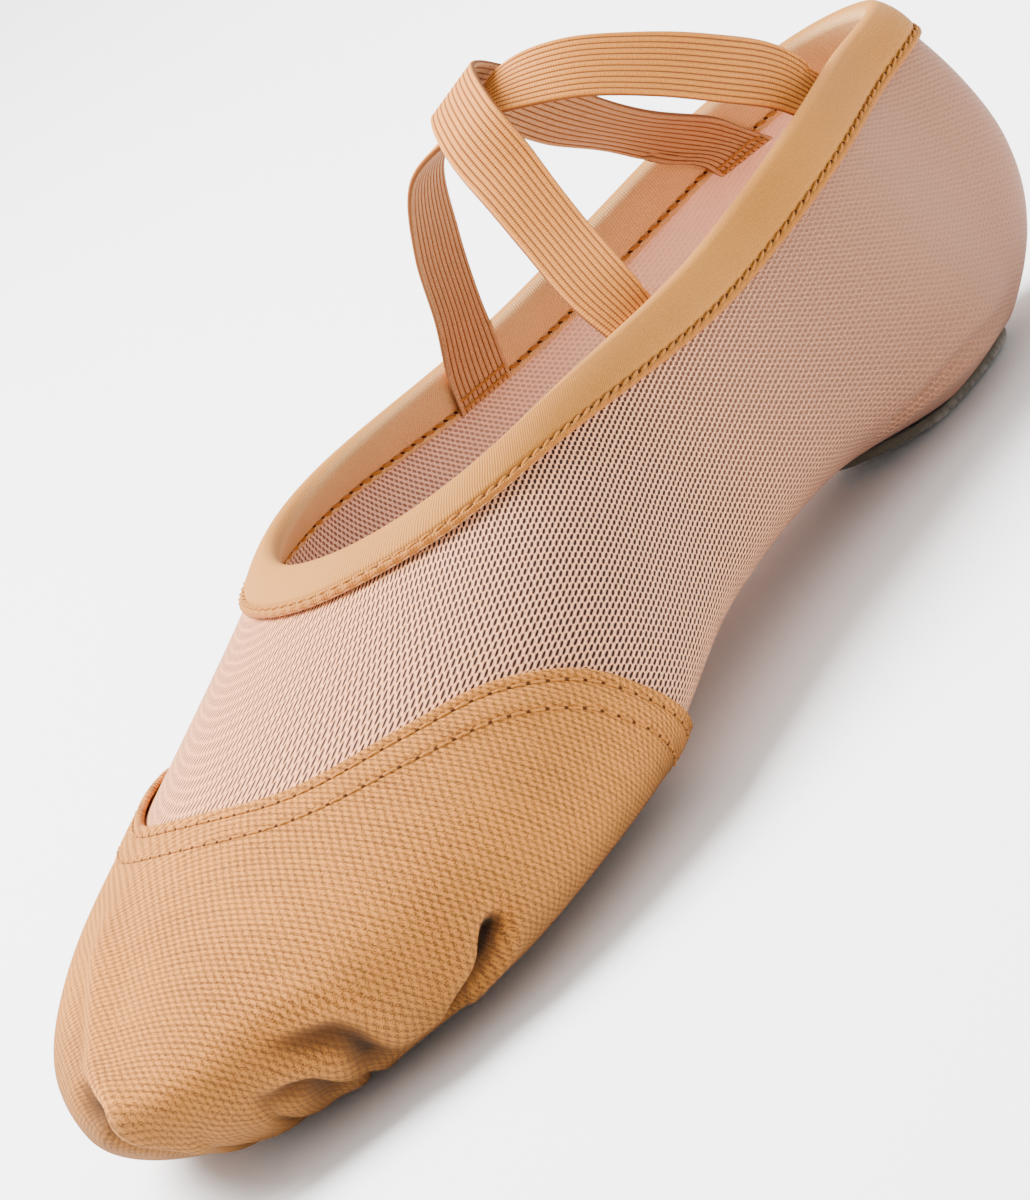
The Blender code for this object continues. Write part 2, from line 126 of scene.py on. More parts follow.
# along, medial, lateral, bottom, widest, top
SECTIONS = (
    (0.0000, 0.036, 0.036, 0.421, 0.421, 0.421),
    (0.0295, 0.172, -0.131, 0.146, 0.374, 0.720),
    (0.1033, 0.230, -0.215, 0.021, 0.259, 0.882),
    (0.1844, 0.285, -0.251, 0.021, 0.240, 0.994),
    (0.3070, 0.291, -0.334, 0.091, 0.293, 1.000),
    (0.4627, 0.360, -0.417, 0.091, 0.292, 0.880),
    (0.6111, 0.478, -0.492, 0.021, 0.241, 0.673),
    (0.7480, 0.507, -0.493, 0.021, 0.174, 0.535),
    (0.8533, 0.425, -0.418, 0.021, 0.186, 0.437),
    (0.9398, 0.289, -0.204, 0.088, 0.223, 0.354),
    (1.0000, 0.120, 0.120, 0.268, 0.268, 0.268),
)
# along, share of the collar's height
COLLAR = ((0.000, 1.000), (0.149, 1.011), (0.317, 0.952), (0.485, 0.989), (0.618, 0.981))
DENSE = 3000


def place(share):
    return HEEL_Y - np.asarray(share) * LENGTH


def through_rows(rows, before, after, count):
    """A Catmull-Rom curve through table rows, given the rows beyond both ends."""
    knots = np.vstack([before, rows, after])
    position = np.linspace(0, len(rows) - 1, count)
    first = np.minimum(position.astype(int), len(rows) - 2)
    share = (position - first)[:, None]
    a, b, c, d = (knots[first + step] for step in range(4))
    return 0.5 * (
        2 * b
        + (c - a) * share
        + (2 * a - 5 * b + 4 * c - d) * share**2
        + (3 * b - a - 3 * c + d) * share**3
    )


def open_curve(rows, count):
    rows = np.asarray(rows, dtype=float)
    return through_rows(rows, 2 * rows[0] - rows[1], 2 * rows[-1] - rows[-2], count)


def dense_sections():
    rows = np.array(SECTIONS)
    rows[:, 0] = place(rows[:, 0])
    rows[:, 1:3] *= BALL_WIDTH
    rows[:, 3:] *= INSTEP_HEIGHT
    past_pole = [0, 2, 1, 5, 4, 3]
    dense = through_rows(rows, rows[1][past_pole], rows[-2][past_pole], DENSE)
    dense[:, 3] = np.maximum(dense[:, 3], SEAT_HEIGHT)
    return dense[::-1]


LAST = dense_sections()
print("sections of the last:", len(LAST))

# %% [markdown]
# Cloth can only be laid on a form that can be measured. Rays could be cast at a
# mesh of the last, but a formula is exact and quick. Fullness tells how far out a
# point is, its slope gives the way outward, and halving an interval finds where a
# ray leaves the last. The collar is a height for each place along the shoe.

# %% Measuring on the last
TINY = 1e-6
SLOPE_STEP = 2e-5


def section(y):
    """Centre, half width, bottom, widest and top height of the last at y."""
    medial, lateral, bottom, widest, top = (
        np.interp(y, LAST[:, 0], LAST[:, column]) for column in range(1, 6)
    )
    return (medial + lateral) / 2, (medial - lateral) / 2, bottom, widest, top


def fullness(points):
    """Under 1 inside the last, 1 on its surface and over 1 outside."""
    x, y, z = np.moveaxis(points, -1, 0)
    centre, half, bottom, widest, top = section(y)
    across = np.abs(x - centre) / np.maximum(half, TINY)
    above = z >= widest
    reach = np.maximum(np.where(above, top - widest, widest - bottom), TINY)
    power = np.where(above, ROUND_ABOVE, ROUND_BELOW)
    return across**power + (np.abs(z - widest) / reach) ** power


def unit(vectors):
    return vectors / np.maximum(np.linalg.norm(vectors, axis=-1, keepdims=True), 1e-12)


def fullness_slope(points):
    """How much fuller the last grows over two small steps along x, y and z."""
    moves = np.eye(3) * SLOPE_STEP
    return np.stack([fullness(points + move) - fullness(points - move) for move in moves], axis=-1)


def outward(points):
    """Unit normals of the last at points on or near its surface."""
    return unit(fullness_slope(points))


def onto_last(origins, directions):
    """Where rays from inside the last leave it, by halving the interval."""
    near = np.zeros(directions.shape[:-1])
    far = np.full(directions.shape[:-1], LENGTH)
    for _ in range(26):
        middle = (near + far) / 2
        inside = fullness(origins + directions * middle[..., None]) < 1
        near = np.where(inside, middle, near)
        far = np.where(inside, far, middle)
    return origins + directions * near[..., None]


def wall_x(y, z, side):
    """X of the last's side wall at a height above its widest line."""
    centre, half, _, widest, top = section(y)
    rise = np.clip((z - widest) / (top - widest), 0, 1)
    return centre + side * half * (1 - rise**ROUND_ABOVE) ** (1 / ROUND_ABOVE)


def collar_height(y):
    curve = open_curve(COLLAR, DENSE)[::-1]
    return np.interp(y, place(curve[:, 0]), curve[:, 1] * COLLAR_HEIGHT)


def where_collar_meets_ridge(inside, outside):
    for _ in range(40):
        middle = (inside + outside) / 2
        if collar_height(middle) < section(middle)[4]:
            inside = middle
        else:
            outside = middle
    return inside


THROAT_Y = where_collar_meets_ridge(0.0, place(0.7))
BACK_Y = where_collar_meets_ridge(place(0.15), HEEL_Y)
print("collar from y", round(float(THROAT_Y), 4), "to", round(float(BACK_Y), 4))

# %% [markdown]
# A column is a path over the cloth: it leaves the collar, goes out over the
# widest edge and under, and ends at the middle of the sole. A station says which
# column: 0 at the toe, 1 at the heel, minus on the outer side. Panels could be cut
# from the last with booleans, but the edges would be ragged. With columns and
# distances from the collar, any strip or panel becomes a simple grid.

# %% Columns over the last
SPINE_HEIGHT = 0.024
SPINE_FROM_TOE, SPINE_FROM_HEEL = 0.045, 0.035
SOLE_LINE_SHARE = 0.72
RIM_CROWDING = 0.5
PATH_STEPS = 320
COLLAR_STEPS = 900


def collar_line(side):
    """The collar from throat to heel along one side, and the share of its length."""
    turn = np.linspace(0, math.pi, COLLAR_STEPS)
    y = (THROAT_Y + BACK_Y) / 2 - (BACK_Y - THROAT_Y) / 2 * np.cos(turn)
    z = collar_height(y)
    line = np.stack([wall_x(y, z, side), y, z], axis=-1)
    run = np.r_[0, np.cumsum(np.linalg.norm(np.diff(line, axis=0), axis=1))]
    return line, run / run[-1]


def plan_stations(share):
    """Y on the last's plan outline at equal shares of its arc, toe to heel."""
    y = LAST[:, 0]
    half = (LAST[:, 1] - LAST[:, 2]) / 2
    run = np.r_[0, np.cumsum(np.hypot(np.diff(y), np.diff(half)))]
    return np.interp(share, run / run[-1], y)


def columns(stations):
    """Points along each station's path, and their distance from the collar."""
    stations = np.asarray(stations, dtype=float)
    share = np.abs(stations)
    side = np.where(stations < 0, -1.0, 1.0)
    y = plan_stations(share)
    centre, half, _, widest, _ = section(y)
    spine_y = np.clip(y, TOE_Y + SPINE_FROM_TOE, HEEL_Y - SPINE_FROM_HEEL)
    spine = np.stack([section(spine_y)[0], spine_y, np.full_like(y, SPINE_HEIGHT)], axis=-1)
    edge = np.stack([centre + side * half, y, widest], axis=-1)
    sole_y = y * SOLE_LINE_SHARE
    sole = np.stack([section(sole_y)[0], sole_y, section(sole_y)[2]], axis=-1)
    along_collar = (1 - RIM_CROWDING) * share + RIM_CROWDING * share**2
    rim = np.empty_like(edge)
    for sign in (-1.0, 1.0):
        line, run = collar_line(sign)
        chosen = side == sign
        for axis in range(3):
            rim[chosen, axis] = np.interp(along_collar[chosen], run, line[:, axis])
    start, middle, end = (unit(target - spine)[:, None] for target in (rim, edge, sole))
    turn_out = np.arccos(np.clip((start * middle).sum(axis=-1), -1, 1))
    turn_under = np.arccos(np.clip((middle * end).sum(axis=-1), -1, 1))
    bend = (turn_out / (turn_out + turn_under))[..., None]
    step = np.linspace(0, 1, PATH_STEPS)[None, :, None]
    directions = unit(
        start * (step - bend) * (step - 1) / bend
        + middle * step * (step - 1) / (bend * (bend - 1))
        + end * step * (step - bend) / (1 - bend)
    )
    points = onto_last(spine[:, None], directions)
    hops = np.linalg.norm(np.diff(points, axis=1), axis=-1)
    distance = np.concatenate([np.zeros((len(stations), 1)), np.cumsum(hops, axis=1)], axis=1)
    return points, distance


def at_distance(paths, distance, wanted):
    """Points on each path at the wanted distances from the collar."""
    found = np.empty(wanted.shape + (3,))
    for row in range(len(paths)):
        for axis in range(3):
            found[row, :, axis] = np.interp(wanted[row], distance[row], paths[row, :, axis])
    return found


def arc_lengths(line):
    return np.r_[0, np.cumsum(np.linalg.norm(np.diff(line, axis=0), axis=1))]


toe_path = columns([0.0])[1][0, -1]
print("from the collar over the toe to the sole:", round(float(toe_path) / MM), "mm")

# %% [markdown]
# Each cloth has an outer and an inner face, and they stand a set height off the
# last. The cloths could be pushed apart by eye, but then they would touch here and
# gape there. The heights are those of the solids, so each piece fills its place.

# %% Thicknesses
UPPER_WALL, CANVAS, JERSEY, SUEDE, COTTON = 0.0011, 0.0008, 0.0008, 0.0015, 0.0010
CLEARANCE = 0.0005
UPPER_FACE = -0.0002
UPPER_LINING = UPPER_FACE - UPPER_WALL
CANVAS_FACE = UPPER_FACE + CLEARANCE + CANVAS
SUEDE_FACE = UPPER_FACE + CLEARANCE + SUEDE
COTTON_FACE = UPPER_LINING - 1.5 * CLEARANCE
BINDING_OUTER = UPPER_FACE + CLEARANCE + JERSEY
BINDING_INNER = UPPER_LINING - CLEARANCE - JERSEY
BINDING_WIDTH = 0.0100
TAPE_THICKNESS, TAPE_WIDTH = 0.0011, 0.0115
TAPE_INSET = BINDING_INNER - 1.5 * CLEARANCE - TAPE_THICKNESS / 2
PATCH_SEAM = 0.0060
INSOLE_MARGIN = -0.0035
print("canvas face", CANVAS_FACE, "binding", BINDING_OUTER, BINDING_INNER)

# %% [markdown]
# A cloth piece is closed all round: an outer grid, an inner grid and a strip along
# the edges that joins them. A Solidify modifier could thicken one grid, but here
# the two faces differ in shape, and each vertex has to know which face it is on.
# The UV map is kept in millimetres, so that a weave is drawn at its true pitch.

# %% Shells from grids
def link(obj):
    bpy.context.scene.collection.objects.link(obj)
    return obj


def grid_faces(rows, cells):
    """Corner numbers of a grid's quads."""
    index = np.arange(rows * cells).reshape(rows, cells)
    return np.stack([index[:-1, :-1], index[:-1, 1:], index[1:, 1:], index[1:, :-1]], axis=-1)


def shell(name, outer, inner, faces, uv, **fields):
    """A closed piece from two like sheets, joined wherever the sheet has an edge.

    Faces are quads of the outer sheet, and uv holds a place for each corner. Each
    vertex keeps whether it's on the inner sheet, and the fields that are given.
    """
    count = len(outer)
    start, stop = faces.ravel(), np.roll(faces, -1, axis=1).ravel()
    key, mirrored = start * count + stop, stop * count + start
    open_edge = ~np.isin(key, mirrored)
    flat = uv.reshape(-1, 2)
    uv_stop = np.roll(uv, -1, axis=1).reshape(-1, 2)
    a, b = start[open_edge], stop[open_edge]
    sides = np.stack([b, a, a + count, b + count], axis=1)
    uv_a, uv_b = flat[open_edge], uv_stop[open_edge]
    side_uv = np.stack([uv_b, uv_a, uv_a, uv_b], axis=1)
    corners = np.vstack([faces, faces[:, ::-1] + count, sides])
    places = np.vstack([uv, uv[:, ::-1], side_uv])
    used, numbers = np.unique(corners, return_inverse=True)
    points = np.vstack([outer, inner])[used]
    mesh = bpy.data.meshes.new(name)
    mesh.from_pydata(points.tolist(), [], numbers.reshape(corners.shape).tolist())
    layer = mesh.uv_layers.new(name="cloth")
    layer.data.foreach_set("uv", places.ravel().astype(np.float32))
    both = {field: np.r_[values, values] for field, values in fields.items()}
    both["inside"] = np.r_[np.zeros(count), np.ones(count)]
    for field, values in both.items():
        kept = values[used].astype(np.float32)
        mesh.attributes.new(field, "FLOAT", "POINT").data.foreach_set("value", kept)
    mesh.update()
    mesh.shade_smooth()
    obj = link(bpy.data.objects.new(name, mesh))
    print(name, len(mesh.polygons), "faces")
    return obj


def corner_uv(uv, faces):
    return uv.reshape(-1, 2)[faces]


print("a grid of 3 by 4 points has", grid_faces(3, 4)[..., 0].size, "quads")

# %% [markdown]
# A weave keeps its size when cloth is pulled over a last. A plain projection would
# smear it at the toe. So each sewn piece is laid flat like a paper pattern, with as
# little stretch as can be, and its UV map is that pattern in millimetres. It is
# found on a coarse grid of the same paths, because that is quick and smooth.

# %% Patterns laid flat
PATTERN_CELLS = 30


def flatten(grid):
    """Lay a grid of points flat: millimetres, with the middle row pointing up."""
    rows, cells, _ = grid.shape
    mesh = bpy.data.meshes.new("pattern")
    faces = grid_faces(rows, cells).reshape(-1, 4)
    mesh.from_pydata(grid.reshape(-1, 3).tolist(), [], faces.tolist())
    mesh.uv_layers.new(name="flat")
    pattern = link(bpy.data.objects.new("pattern", mesh))
    bpy.context.view_layer.objects.active = pattern
    pattern.select_set(True)
    bpy.ops.object.mode_set(mode="EDIT")
    bpy.ops.mesh.select_all(action="SELECT")
    bpy.ops.uv.unwrap(method="MINIMUM_STRETCH", margin=0.0)
    bpy.ops.object.mode_set(mode="OBJECT")
    places = np.empty(len(mesh.loops) * 2)
    mesh.uv_layers.active.data.foreach_get("uv", places)
    corner = np.empty(len(mesh.loops), dtype=np.int32)
    mesh.loops.foreach_get("vertex_index", corner)
    flat = np.empty((rows * cells, 2))
    flat[corner] = places.reshape(-1, 2)
    flat = flat.reshape(rows, cells, 2)
    bpy.data.objects.remove(pattern, do_unlink=True)
    bpy.data.meshes.remove(mesh)
    real = np.linalg.norm(np.diff(grid, axis=1), axis=-1)
    drawn = np.linalg.norm(np.diff(flat, axis=1), axis=-1)
    flat = (flat - flat[rows // 2, 0]) * (real.sum() / drawn.sum() / MM)
    up = unit(flat[rows // 2, 0] - flat[rows // 2, cells // 2])
    stretch = np.linalg.norm(np.diff(flat, axis=1), axis=-1) * MM / real
    print("pattern stretch", np.round(np.percentile(stretch, [2, 50, 98]), 2))
    return flat @ np.array([[up[1], up[0]], [-up[0], up[1]]])


def pattern_uv(flat, coarse_stations, stations, share):
    """The pattern's place at each station and share of its path, also past its end."""
    rows = np.interp(stations, coarse_stations, np.arange(len(coarse_stations)))
    first = np.minimum(rows.astype(int), len(coarse_stations) - 2)
    blend = (rows - first)[:, None, None]
    lines = flat[first] * (1 - blend) + flat[first + 1] * blend
    cell = share * (flat.shape[1] - 1)
    left = np.clip(cell.astype(int), 0, flat.shape[1] - 2)
    blend = (cell - left)[..., None]
    row = np.arange(len(stations))[:, None]
    return lines[row, left] * (1 - blend) + lines[row, left + 1] * blend


print("patterns are laid flat on grids of", PATTERN_CELLS, "cells down each path")

# %% [markdown]
# Cloth on a last is never smooth. A cloth simulation would fold it, but not where
# this shoe is folded, so folds are moves of the vertices. A fold is drawn as a line
# over the last, in the shoe's own sizes, with a lip on one side and a hollow on the
# other. It is strongest in the middle of the line, and it fades before the ends.

# %% Folds in cloth
LINE_STEPS, LINE_BLUR = 60, 1.5 * MM
# How far a fold reaches, in lip and hollow widths, and how much further is looked at
FOLD_REACH, FOLD_MARGIN = 1.6, 1.3
# Where the lip, its lean, the hollow and the swell behind it are highest
LIP_AT, LEAN_AT, HOLLOW_AT, REAR_AT = 0.7, 0.3, 0.6, 2.6
REAR_WIDTH = 1.3


def bell(value):
    return np.exp(-(value**2))


def ease(value):
    value = np.clip(value, 0, 1)
    return value * value * (3 - 2 * value)


def fold(
    points, normals, line, lip, lip_width, hollow, hollow_width,
    lean=0.0, rear=0.0, fade=(0.3, 0.3),
):
    """How a fold moves points. Seen from outside, the lip is to the left of the line.

    The line and all the sizes are in millimetres. Lean is how far the lip hangs over
    the hollow, rear is a swell behind the hollow, and fade is the share of the line
    over which the fold grows at each end.
    """
    path = open_curve(np.array(line) * MM, LINE_STEPS)
    share = arc_lengths(path)
    share = share / share[-1]
    heading = unit(np.gradient(path, axis=0))
    lip_width, hollow_width = lip_width * MM, hollow_width * MM
    reach = FOLD_REACH * (lip_width + hollow_width)
    nearest = np.full(points.shape[:-1], LENGTH)
    for point in path[::4]:
        nearest = np.minimum(nearest, np.linalg.norm(points - point, axis=-1))
    close = nearest < FOLD_MARGIN * reach
    away = points[close][:, None] - path
    facing = normals[close]
    gap = (away**2).sum(axis=-1)
    weight = np.exp(-(gap - gap.min(axis=-1, keepdims=True)) / LINE_BLUR**2)
    weight = weight / weight.sum(axis=-1, keepdims=True)
    across = unit(np.cross(facing[:, None], heading))
    side = (weight * (away * across).sum(axis=-1)).sum(axis=-1)
    beyond = (weight * (away * heading).sum(axis=-1)).sum(axis=-1)
    share = (weight * share).sum(axis=-1)
    across = unit((weight[..., None] * across).sum(axis=1))
    strength = bell(beyond / (lip_width + hollow_width))
    strength = strength * ease(2 - np.sqrt(gap.min(axis=-1)) / reach)
    for end, rest in zip(fade, (share, 1 - share)):
        if end:
            strength = strength * ease(rest / end)
    rise = lip * bell((side - LIP_AT * lip_width) / lip_width)
    rise = rise + rear * bell((side + REAR_AT * hollow_width) / (REAR_WIDTH * hollow_width))
    fall = hollow * bell((side + HOLLOW_AT * hollow_width) / hollow_width)
    push = lean * bell((side - LEAN_AT * lip_width) / (LEAN_AT * lip_width + 0.5 * hollow_width))
    out, sideways = strength * (rise - fall), strength * push
    moved = np.zeros(points.shape)
    moved[close] = (facing * out[:, None] - across * sideways[:, None]) * MM
    return moved


print("a fold reaches", FOLD_REACH, "times its lip and hollow to each side")

# %% [markdown]
# The two suede patches are the only sole. They could be traced point by point, but
# a rounded oval with five numbers comes as close and can be tested at any point.
# Outside_patch is that test: the mesh stops under a patch, and the canvas at it.

# %% Sole patch outlines
# x, y, half width, half length and roundness
FOREFOOT_PATCH = (-0.0010, -0.0510, 0.0280, 0.0370, 2.3)
HEEL_PATCH = (0.0005, 0.0825, 0.0120, 0.0205, 2.3)


def outside_patch(points, patch, margin):
    """Negative under the shoe inside a patch's outline, positive elsewhere."""
    x, y, half_width, half_length, exponent = patch
    across = np.abs(points[..., 0] - x) / (half_width + margin)
    along = np.abs(points[..., 1] - y) / (half_length + margin)
    above_sole = (points[..., 2] - SPINE_HEIGHT / 2) / SPINE_HEIGHT
    return np.maximum(across**exponent + along**exponent - 1, above_sole)


for label, patch in (("forefoot", FOREFOOT_PATCH), ("heel", HEEL_PATCH)):
    print(label, "patch", round(2 * patch[2] / MM), "by", round(2 * patch[3] / MM), "mm")

# %% [markdown]
# Under the toe the canvas is gathered into pleats, and the patch is stitched over
# them. Each fold that shows from the side is drawn where the picture has it. The
# small gathers along the patch are only a station, a height and a depth, because
# they are all alike. Broad swells fill the canvas out between the folds.

# %% Where the canvas folds
# The pleats and folds that show from the side, in millimetres
CAP_FOLDS = (
    dict(line=((49.2, -70.2, 14.4), (48.3, -71.6, 12.8), (47.2, -73.3, 10.9),
               (46.0, -74.5, 8.8), (44.3, -76.4, 6.7), (41.8, -78.8, 4.9), (37.0, -80.0, 2.6)),
         lip=1.1, lip_width=2.2, hollow=4.8, hollow_width=2.3, lean=0.7, rear=0.8, fade=(0.2, 0.1)),
    dict(line=((26.0, -108.5, 24.6), (30.8, -103.4, 22.6), (34.0, -100.0, 20.7),
               (36.6, -96.8, 18.4), (37.8, -94.7, 14.2), (36.9, -93.4, 9.7), (32.0, -89.0, 4.0)),
         lip=1.4, lip_width=3.4, hollow=2.6, hollow_width=3.6, lean=0.9, rear=0.3, fade=(0.45, 0.2)),
    dict(line=((25.4, -112.0, 17.4), (27.8, -108.7, 15.1), (30.1, -105.5, 13.9),
               (31.6, -102.6, 11.8), (31.0, -100.2, 8.8), (27.0, -94.0, 4.0)),
         lip=1.0, lip_width=2.6, hollow=2.0, hollow_width=2.8, lean=0.8, rear=0.3, fade=(0.4, 0.2)),
    dict(line=((-6.0, -112.0, 29.5), (1.0, -115.6, 28.4), (6.0, -118.6, 27.0), (9.5, -120.5, 26.0),
               (11.6, -122.2, 24.0), (12.2, -122.6, 21.0), (13.2, -121.2, 17.8), (15.0, -118.0, 14.0),
               (13.0, -110.0, 9.0)),
         lip=1.4, lip_width=2.6, hollow=3.0, hollow_width=2.4, lean=0.3, rear=0.2, fade=(0.3, 0.2)),
    dict(line=((-21.5, -80.8, 36.7), (-15.4, -91.8, 34.4), (-8.3, -101.8, 31.9), (-2.2, -109.8, 29.4),
               (6.1, -117.8, 27.3)),
         lip=1.5, lip_width=4.0, hollow=0.9, hollow_width=4.0, fade=(0.4, 0.3)),
)
# Gathers where the patch catches the canvas, most of them under the toe and on the
# outer side: station, how far up from the patch, and depth
GATHERS = (
    (0.175, 9.0, 0.9), (0.205, 10.0, 1.0), (0.275, 10.0, 0.8), (0.31, 9.0, 0.6),
    (0.35, 8.0, 0.5), (0.148, 26.0, 1.0), (0.092, 42.0, 1.2), (0.045, 48.0, 1.7),
    (0.015, 14.0, 0.9), (-0.03, 13.0, 1.2), (-0.065, 11.0, 0.9), (-0.10, 14.0, 1.3),
    (-0.14, 12.0, 1.0), (-0.18, 16.0, 1.4), (-0.215, 12.0, 0.9), (-0.26, 14.0, 1.2),
    (-0.31, 11.0, 0.8), (-0.36, 9.0, 0.6),
)
# Where soft cloth fills out or falls in a little: x, y, z, reach and height
SWELLS = (
    (14.0, 117.0, 29.0, 12.0, 1.1), (48.0, -56.0, 9.0, 16.0, -0.7), (-7.0, -109.0, 28.0, 14.0, -0.7),
    (-21.0, -91.0, 33.0, 12.0, -0.4), (14.0, -121.0, 18.0, 9.0, -0.6), (36.0, -88.0, 4.0, 12.0, -1.0),
    (26.0, -104.0, 8.0, 13.0, -1.5), (19.5, -113.5, 12.0, 7.0, 0.8), (1.7, -120.0, 24.3, 5.0, -0.8),
)
# A gather starts this far under the patch, and has points at these shares of its
# height. Its lip, lean and swell are shares of its depth, and its widths are set
GATHER_TUCK = 2
GATHER_POINTS = (0.0, 0.3, 0.65, 1.0)
GATHER_SIZES = dict(lip=0.35, lean=0.3, rear=0.3)
GATHER_WIDTHS = dict(lip_width=2.2, hollow_width=1.2, fade=(0.0, 0.6))


def gather_lines():
    """A short line up the canvas from the patch's edge for each gather."""
    rows = []
    for station, reach, depth in GATHERS:
        paths, distance = columns([station])
        outside = outside_patch(paths, FOREFOOT_PATCH, 0.0)[0]
        edge = distance[0, np.nonzero(outside > 0)[0][-1]]
        wanted = edge - np.array([GATHER_POINTS]) * reach * MM
        wanted[0, 0] = edge + GATHER_TUCK * MM
        line = at_distance(paths, distance, wanted)[0] / MM
        sizes = {size: share * depth for size, share in GATHER_SIZES.items()}
        rows.append(dict(line=line, hollow=depth, **sizes, **GATHER_WIDTHS))
    return rows


CAP_GATHERS = gather_lines()
ALL_FOLDS = list(CAP_FOLDS) + CAP_GATHERS


def swell(points):
    """How far soft cloth stands out or falls in at each point."""
    total = 0
    for x, y, z, reach, height in SWELLS:
        away = np.linalg.norm(points - np.array([x, y, z]) * MM, axis=-1)
        total = total + height * MM * bell(away / (reach * MM))
    return total[..., None]


def cap_folds(points, normals):
    moved = sum(fold(points, normals, **settings) for settings in ALL_FOLDS)
    return moved + normals * swell(points)


print(len(CAP_FOLDS), "folds drawn by hand,", len(CAP_GATHERS), "gathers,", len(SWELLS), "swells")

# %% [markdown]
# Under the canvas lies the mesh, and it has to sink with the canvas or it would
# show through the pleats. It could be hidden there, but a real shoe has it. It takes
# the same folds, a little deeper and wider. Its own folds are one long soft crease
# on each side above the heel patch, where the mesh is caught.

# %% Where the mesh folds
# How much deeper in millimetres, and how many times wider, the mesh sinks
DEEPER, WIDER = 0.3, 1.7
HEEL_LINE = (
    (20.5, 50.0, 9.0), (22.4, 55.4, 9.9), (24.8, 61.1, 10.5), (26.6, 68.6, 11.0),
    (27.0, 77.0, 11.2), (24.4, 88.0, 9.6), (20.0, 96.0, 9.0),
)
HEEL_FOLD = dict(lip=1.0, lip_width=3.4, hollow=1.0, hollow_width=1.5, rear=0.8, fade=(0.3, 0.3))
# The line runs the other way on the outer side, so that its lip is above there too
HEEL_FOLDS = tuple(
    dict(line=tuple((side * x, y, z) for x, y, z in HEEL_LINE[::side]), **HEEL_FOLD)
    for side in (1, -1)
)


def upper_folds(points, normals):
    """Under the canvas the mesh sinks further and more gently than the canvas does."""
    moved = np.zeros(points.shape)
    for settings in ALL_FOLDS:
        under = dict(settings, lip=0.0, rear=0.0, lean=0.0)
        under["hollow"] = settings["hollow"] + DEEPER
        under["hollow_width"] = WIDER * settings["hollow_width"]
        moved = moved + fold(points, normals, **under)
    for settings in HEEL_FOLDS:
        moved = moved + fold(points, normals, **settings)
    return moved + normals * swell(points)


print("the mesh follows", len(ALL_FOLDS), "folds and has", len(HEEL_FOLDS), "of its own")

# %% [markdown]
# Stretch mesh doesn't lie evenly. Over the vamp the shoe pulls it long and skews its
# rows, and towards the sides and the heel it lies relaxed. The holes could be drawn
# longer there, but the yarns between them would stay as they are. So the UV map
# holds the cloth's own millimetres, and all of it stretches where the cloth does.

# %% How the mesh is pulled
VAMP_PULL, PULL_REACH = 0.62, 57.0
VAMP_SKEW, SKEW_REACH = 23.6, 41.7


def relaxed_mesh(uv):
    across, along = uv[..., 0], uv[..., 1]
    pulled = along * (1 - VAMP_PULL * bell(across / PULL_REACH))
    return np.stack([across, pulled - VAMP_SKEW * np.tanh(across / SKEW_REACH)], axis=-1)


print("mesh on the vamp is pulled to", round(1 / (1 - VAMP_PULL), 1), "times its length")

# %% [markdown]
# The upper is one sock of mesh, sewn shut under the arch and open under the two
# patches. It could be the last with a mesh material, but then it would have no
# inside, and the inside shows. Here it is one grid from the collar to the middle of
# the sole, all round. Where the two sides meet, their points are made one.

# %% Upper
UPPER_COLUMNS, UPPER_RINGS, UPPER_COARSE = 256, 112, 97
# How far down a path the pattern is laid flat: at the toe, and from this station back
PATTERN_AT_TOE, PATTERN_AT_WAIST = 0.062, 0.074
WAIST_STATION = 0.4


def make_upper():
    """The whole sock of mesh, with its pattern kept in the UV map."""
    first = JERSEY + CLEARANCE
    coarse = np.linspace(-1, 1, UPPER_COARSE)
    paths, distance = columns(coarse)
    toward_waist = ease(np.abs(coarse) / WAIST_STATION)
    reach = PATTERN_AT_TOE + (PATTERN_AT_WAIST - PATTERN_AT_TOE) * toward_waist
    reach = np.minimum(reach, distance[:, -1])
    span = np.linspace(0, 1, PATTERN_CELLS)
    flat = flatten(at_distance(paths, distance, first + (reach - first)[:, None] * span))
    stations = np.linspace(-1, 1, UPPER_COLUMNS + 1)
    paths, distance = columns(stations)
    wanted = first + (distance[:, -1:] - first) * np.linspace(0, 1, UPPER_RINGS)
    share = (wanted - first) / (np.interp(stations, coarse, reach)[:, None] - first)
    uv = relaxed_mesh(pattern_uv(flat, coarse, stations, share))
    base = at_distance(paths, distance, wanted)
    base[:, -1] = (base[:, -1] + base[::-1, -1]) / 2
    normal = outward(base)
    moved = upper_folds(base, normal)
    outer = base + normal * UPPER_FACE + moved
    inner = base + normal * UPPER_LINING + moved
    faces = grid_faces(UPPER_COLUMNS + 1, UPPER_RINGS).reshape(-1, 4)
    places = corner_uv(uv, faces)
    hidden = [
        (outside_patch(base.reshape(-1, 3)[faces], patch, -PATCH_SEAM) < 0).all(axis=1)
        for patch in (FOREFOOT_PATCH, HEEL_PATCH)
    ]
    number = np.arange(outer[..., 0].size).reshape(UPPER_COLUMNS + 1, UPPER_RINGS)
    number[-1] = number[0]
    number[:, -1] = np.minimum(number[:, -1], number[::-1, -1])
    faces = number.reshape(-1)[faces]
    kept = ~(hidden[0] | hidden[1])
    sheets = outer.reshape(-1, 3), inner.reshape(-1, 3)
    return shell("upper_mesh", *sheets, faces[kept], places[kept])


upper = make_upper()

# %% [markdown]
# The cap is one piece of heavy canvas, and its rear edge runs in a curve over the
# vamp and down both sides. The weave could be drawn straight over the pattern, but
# the gathers pull it, so its rows and columns bend. Two formulas tell which thread
# passes through each place of the pattern, as read off the picture.

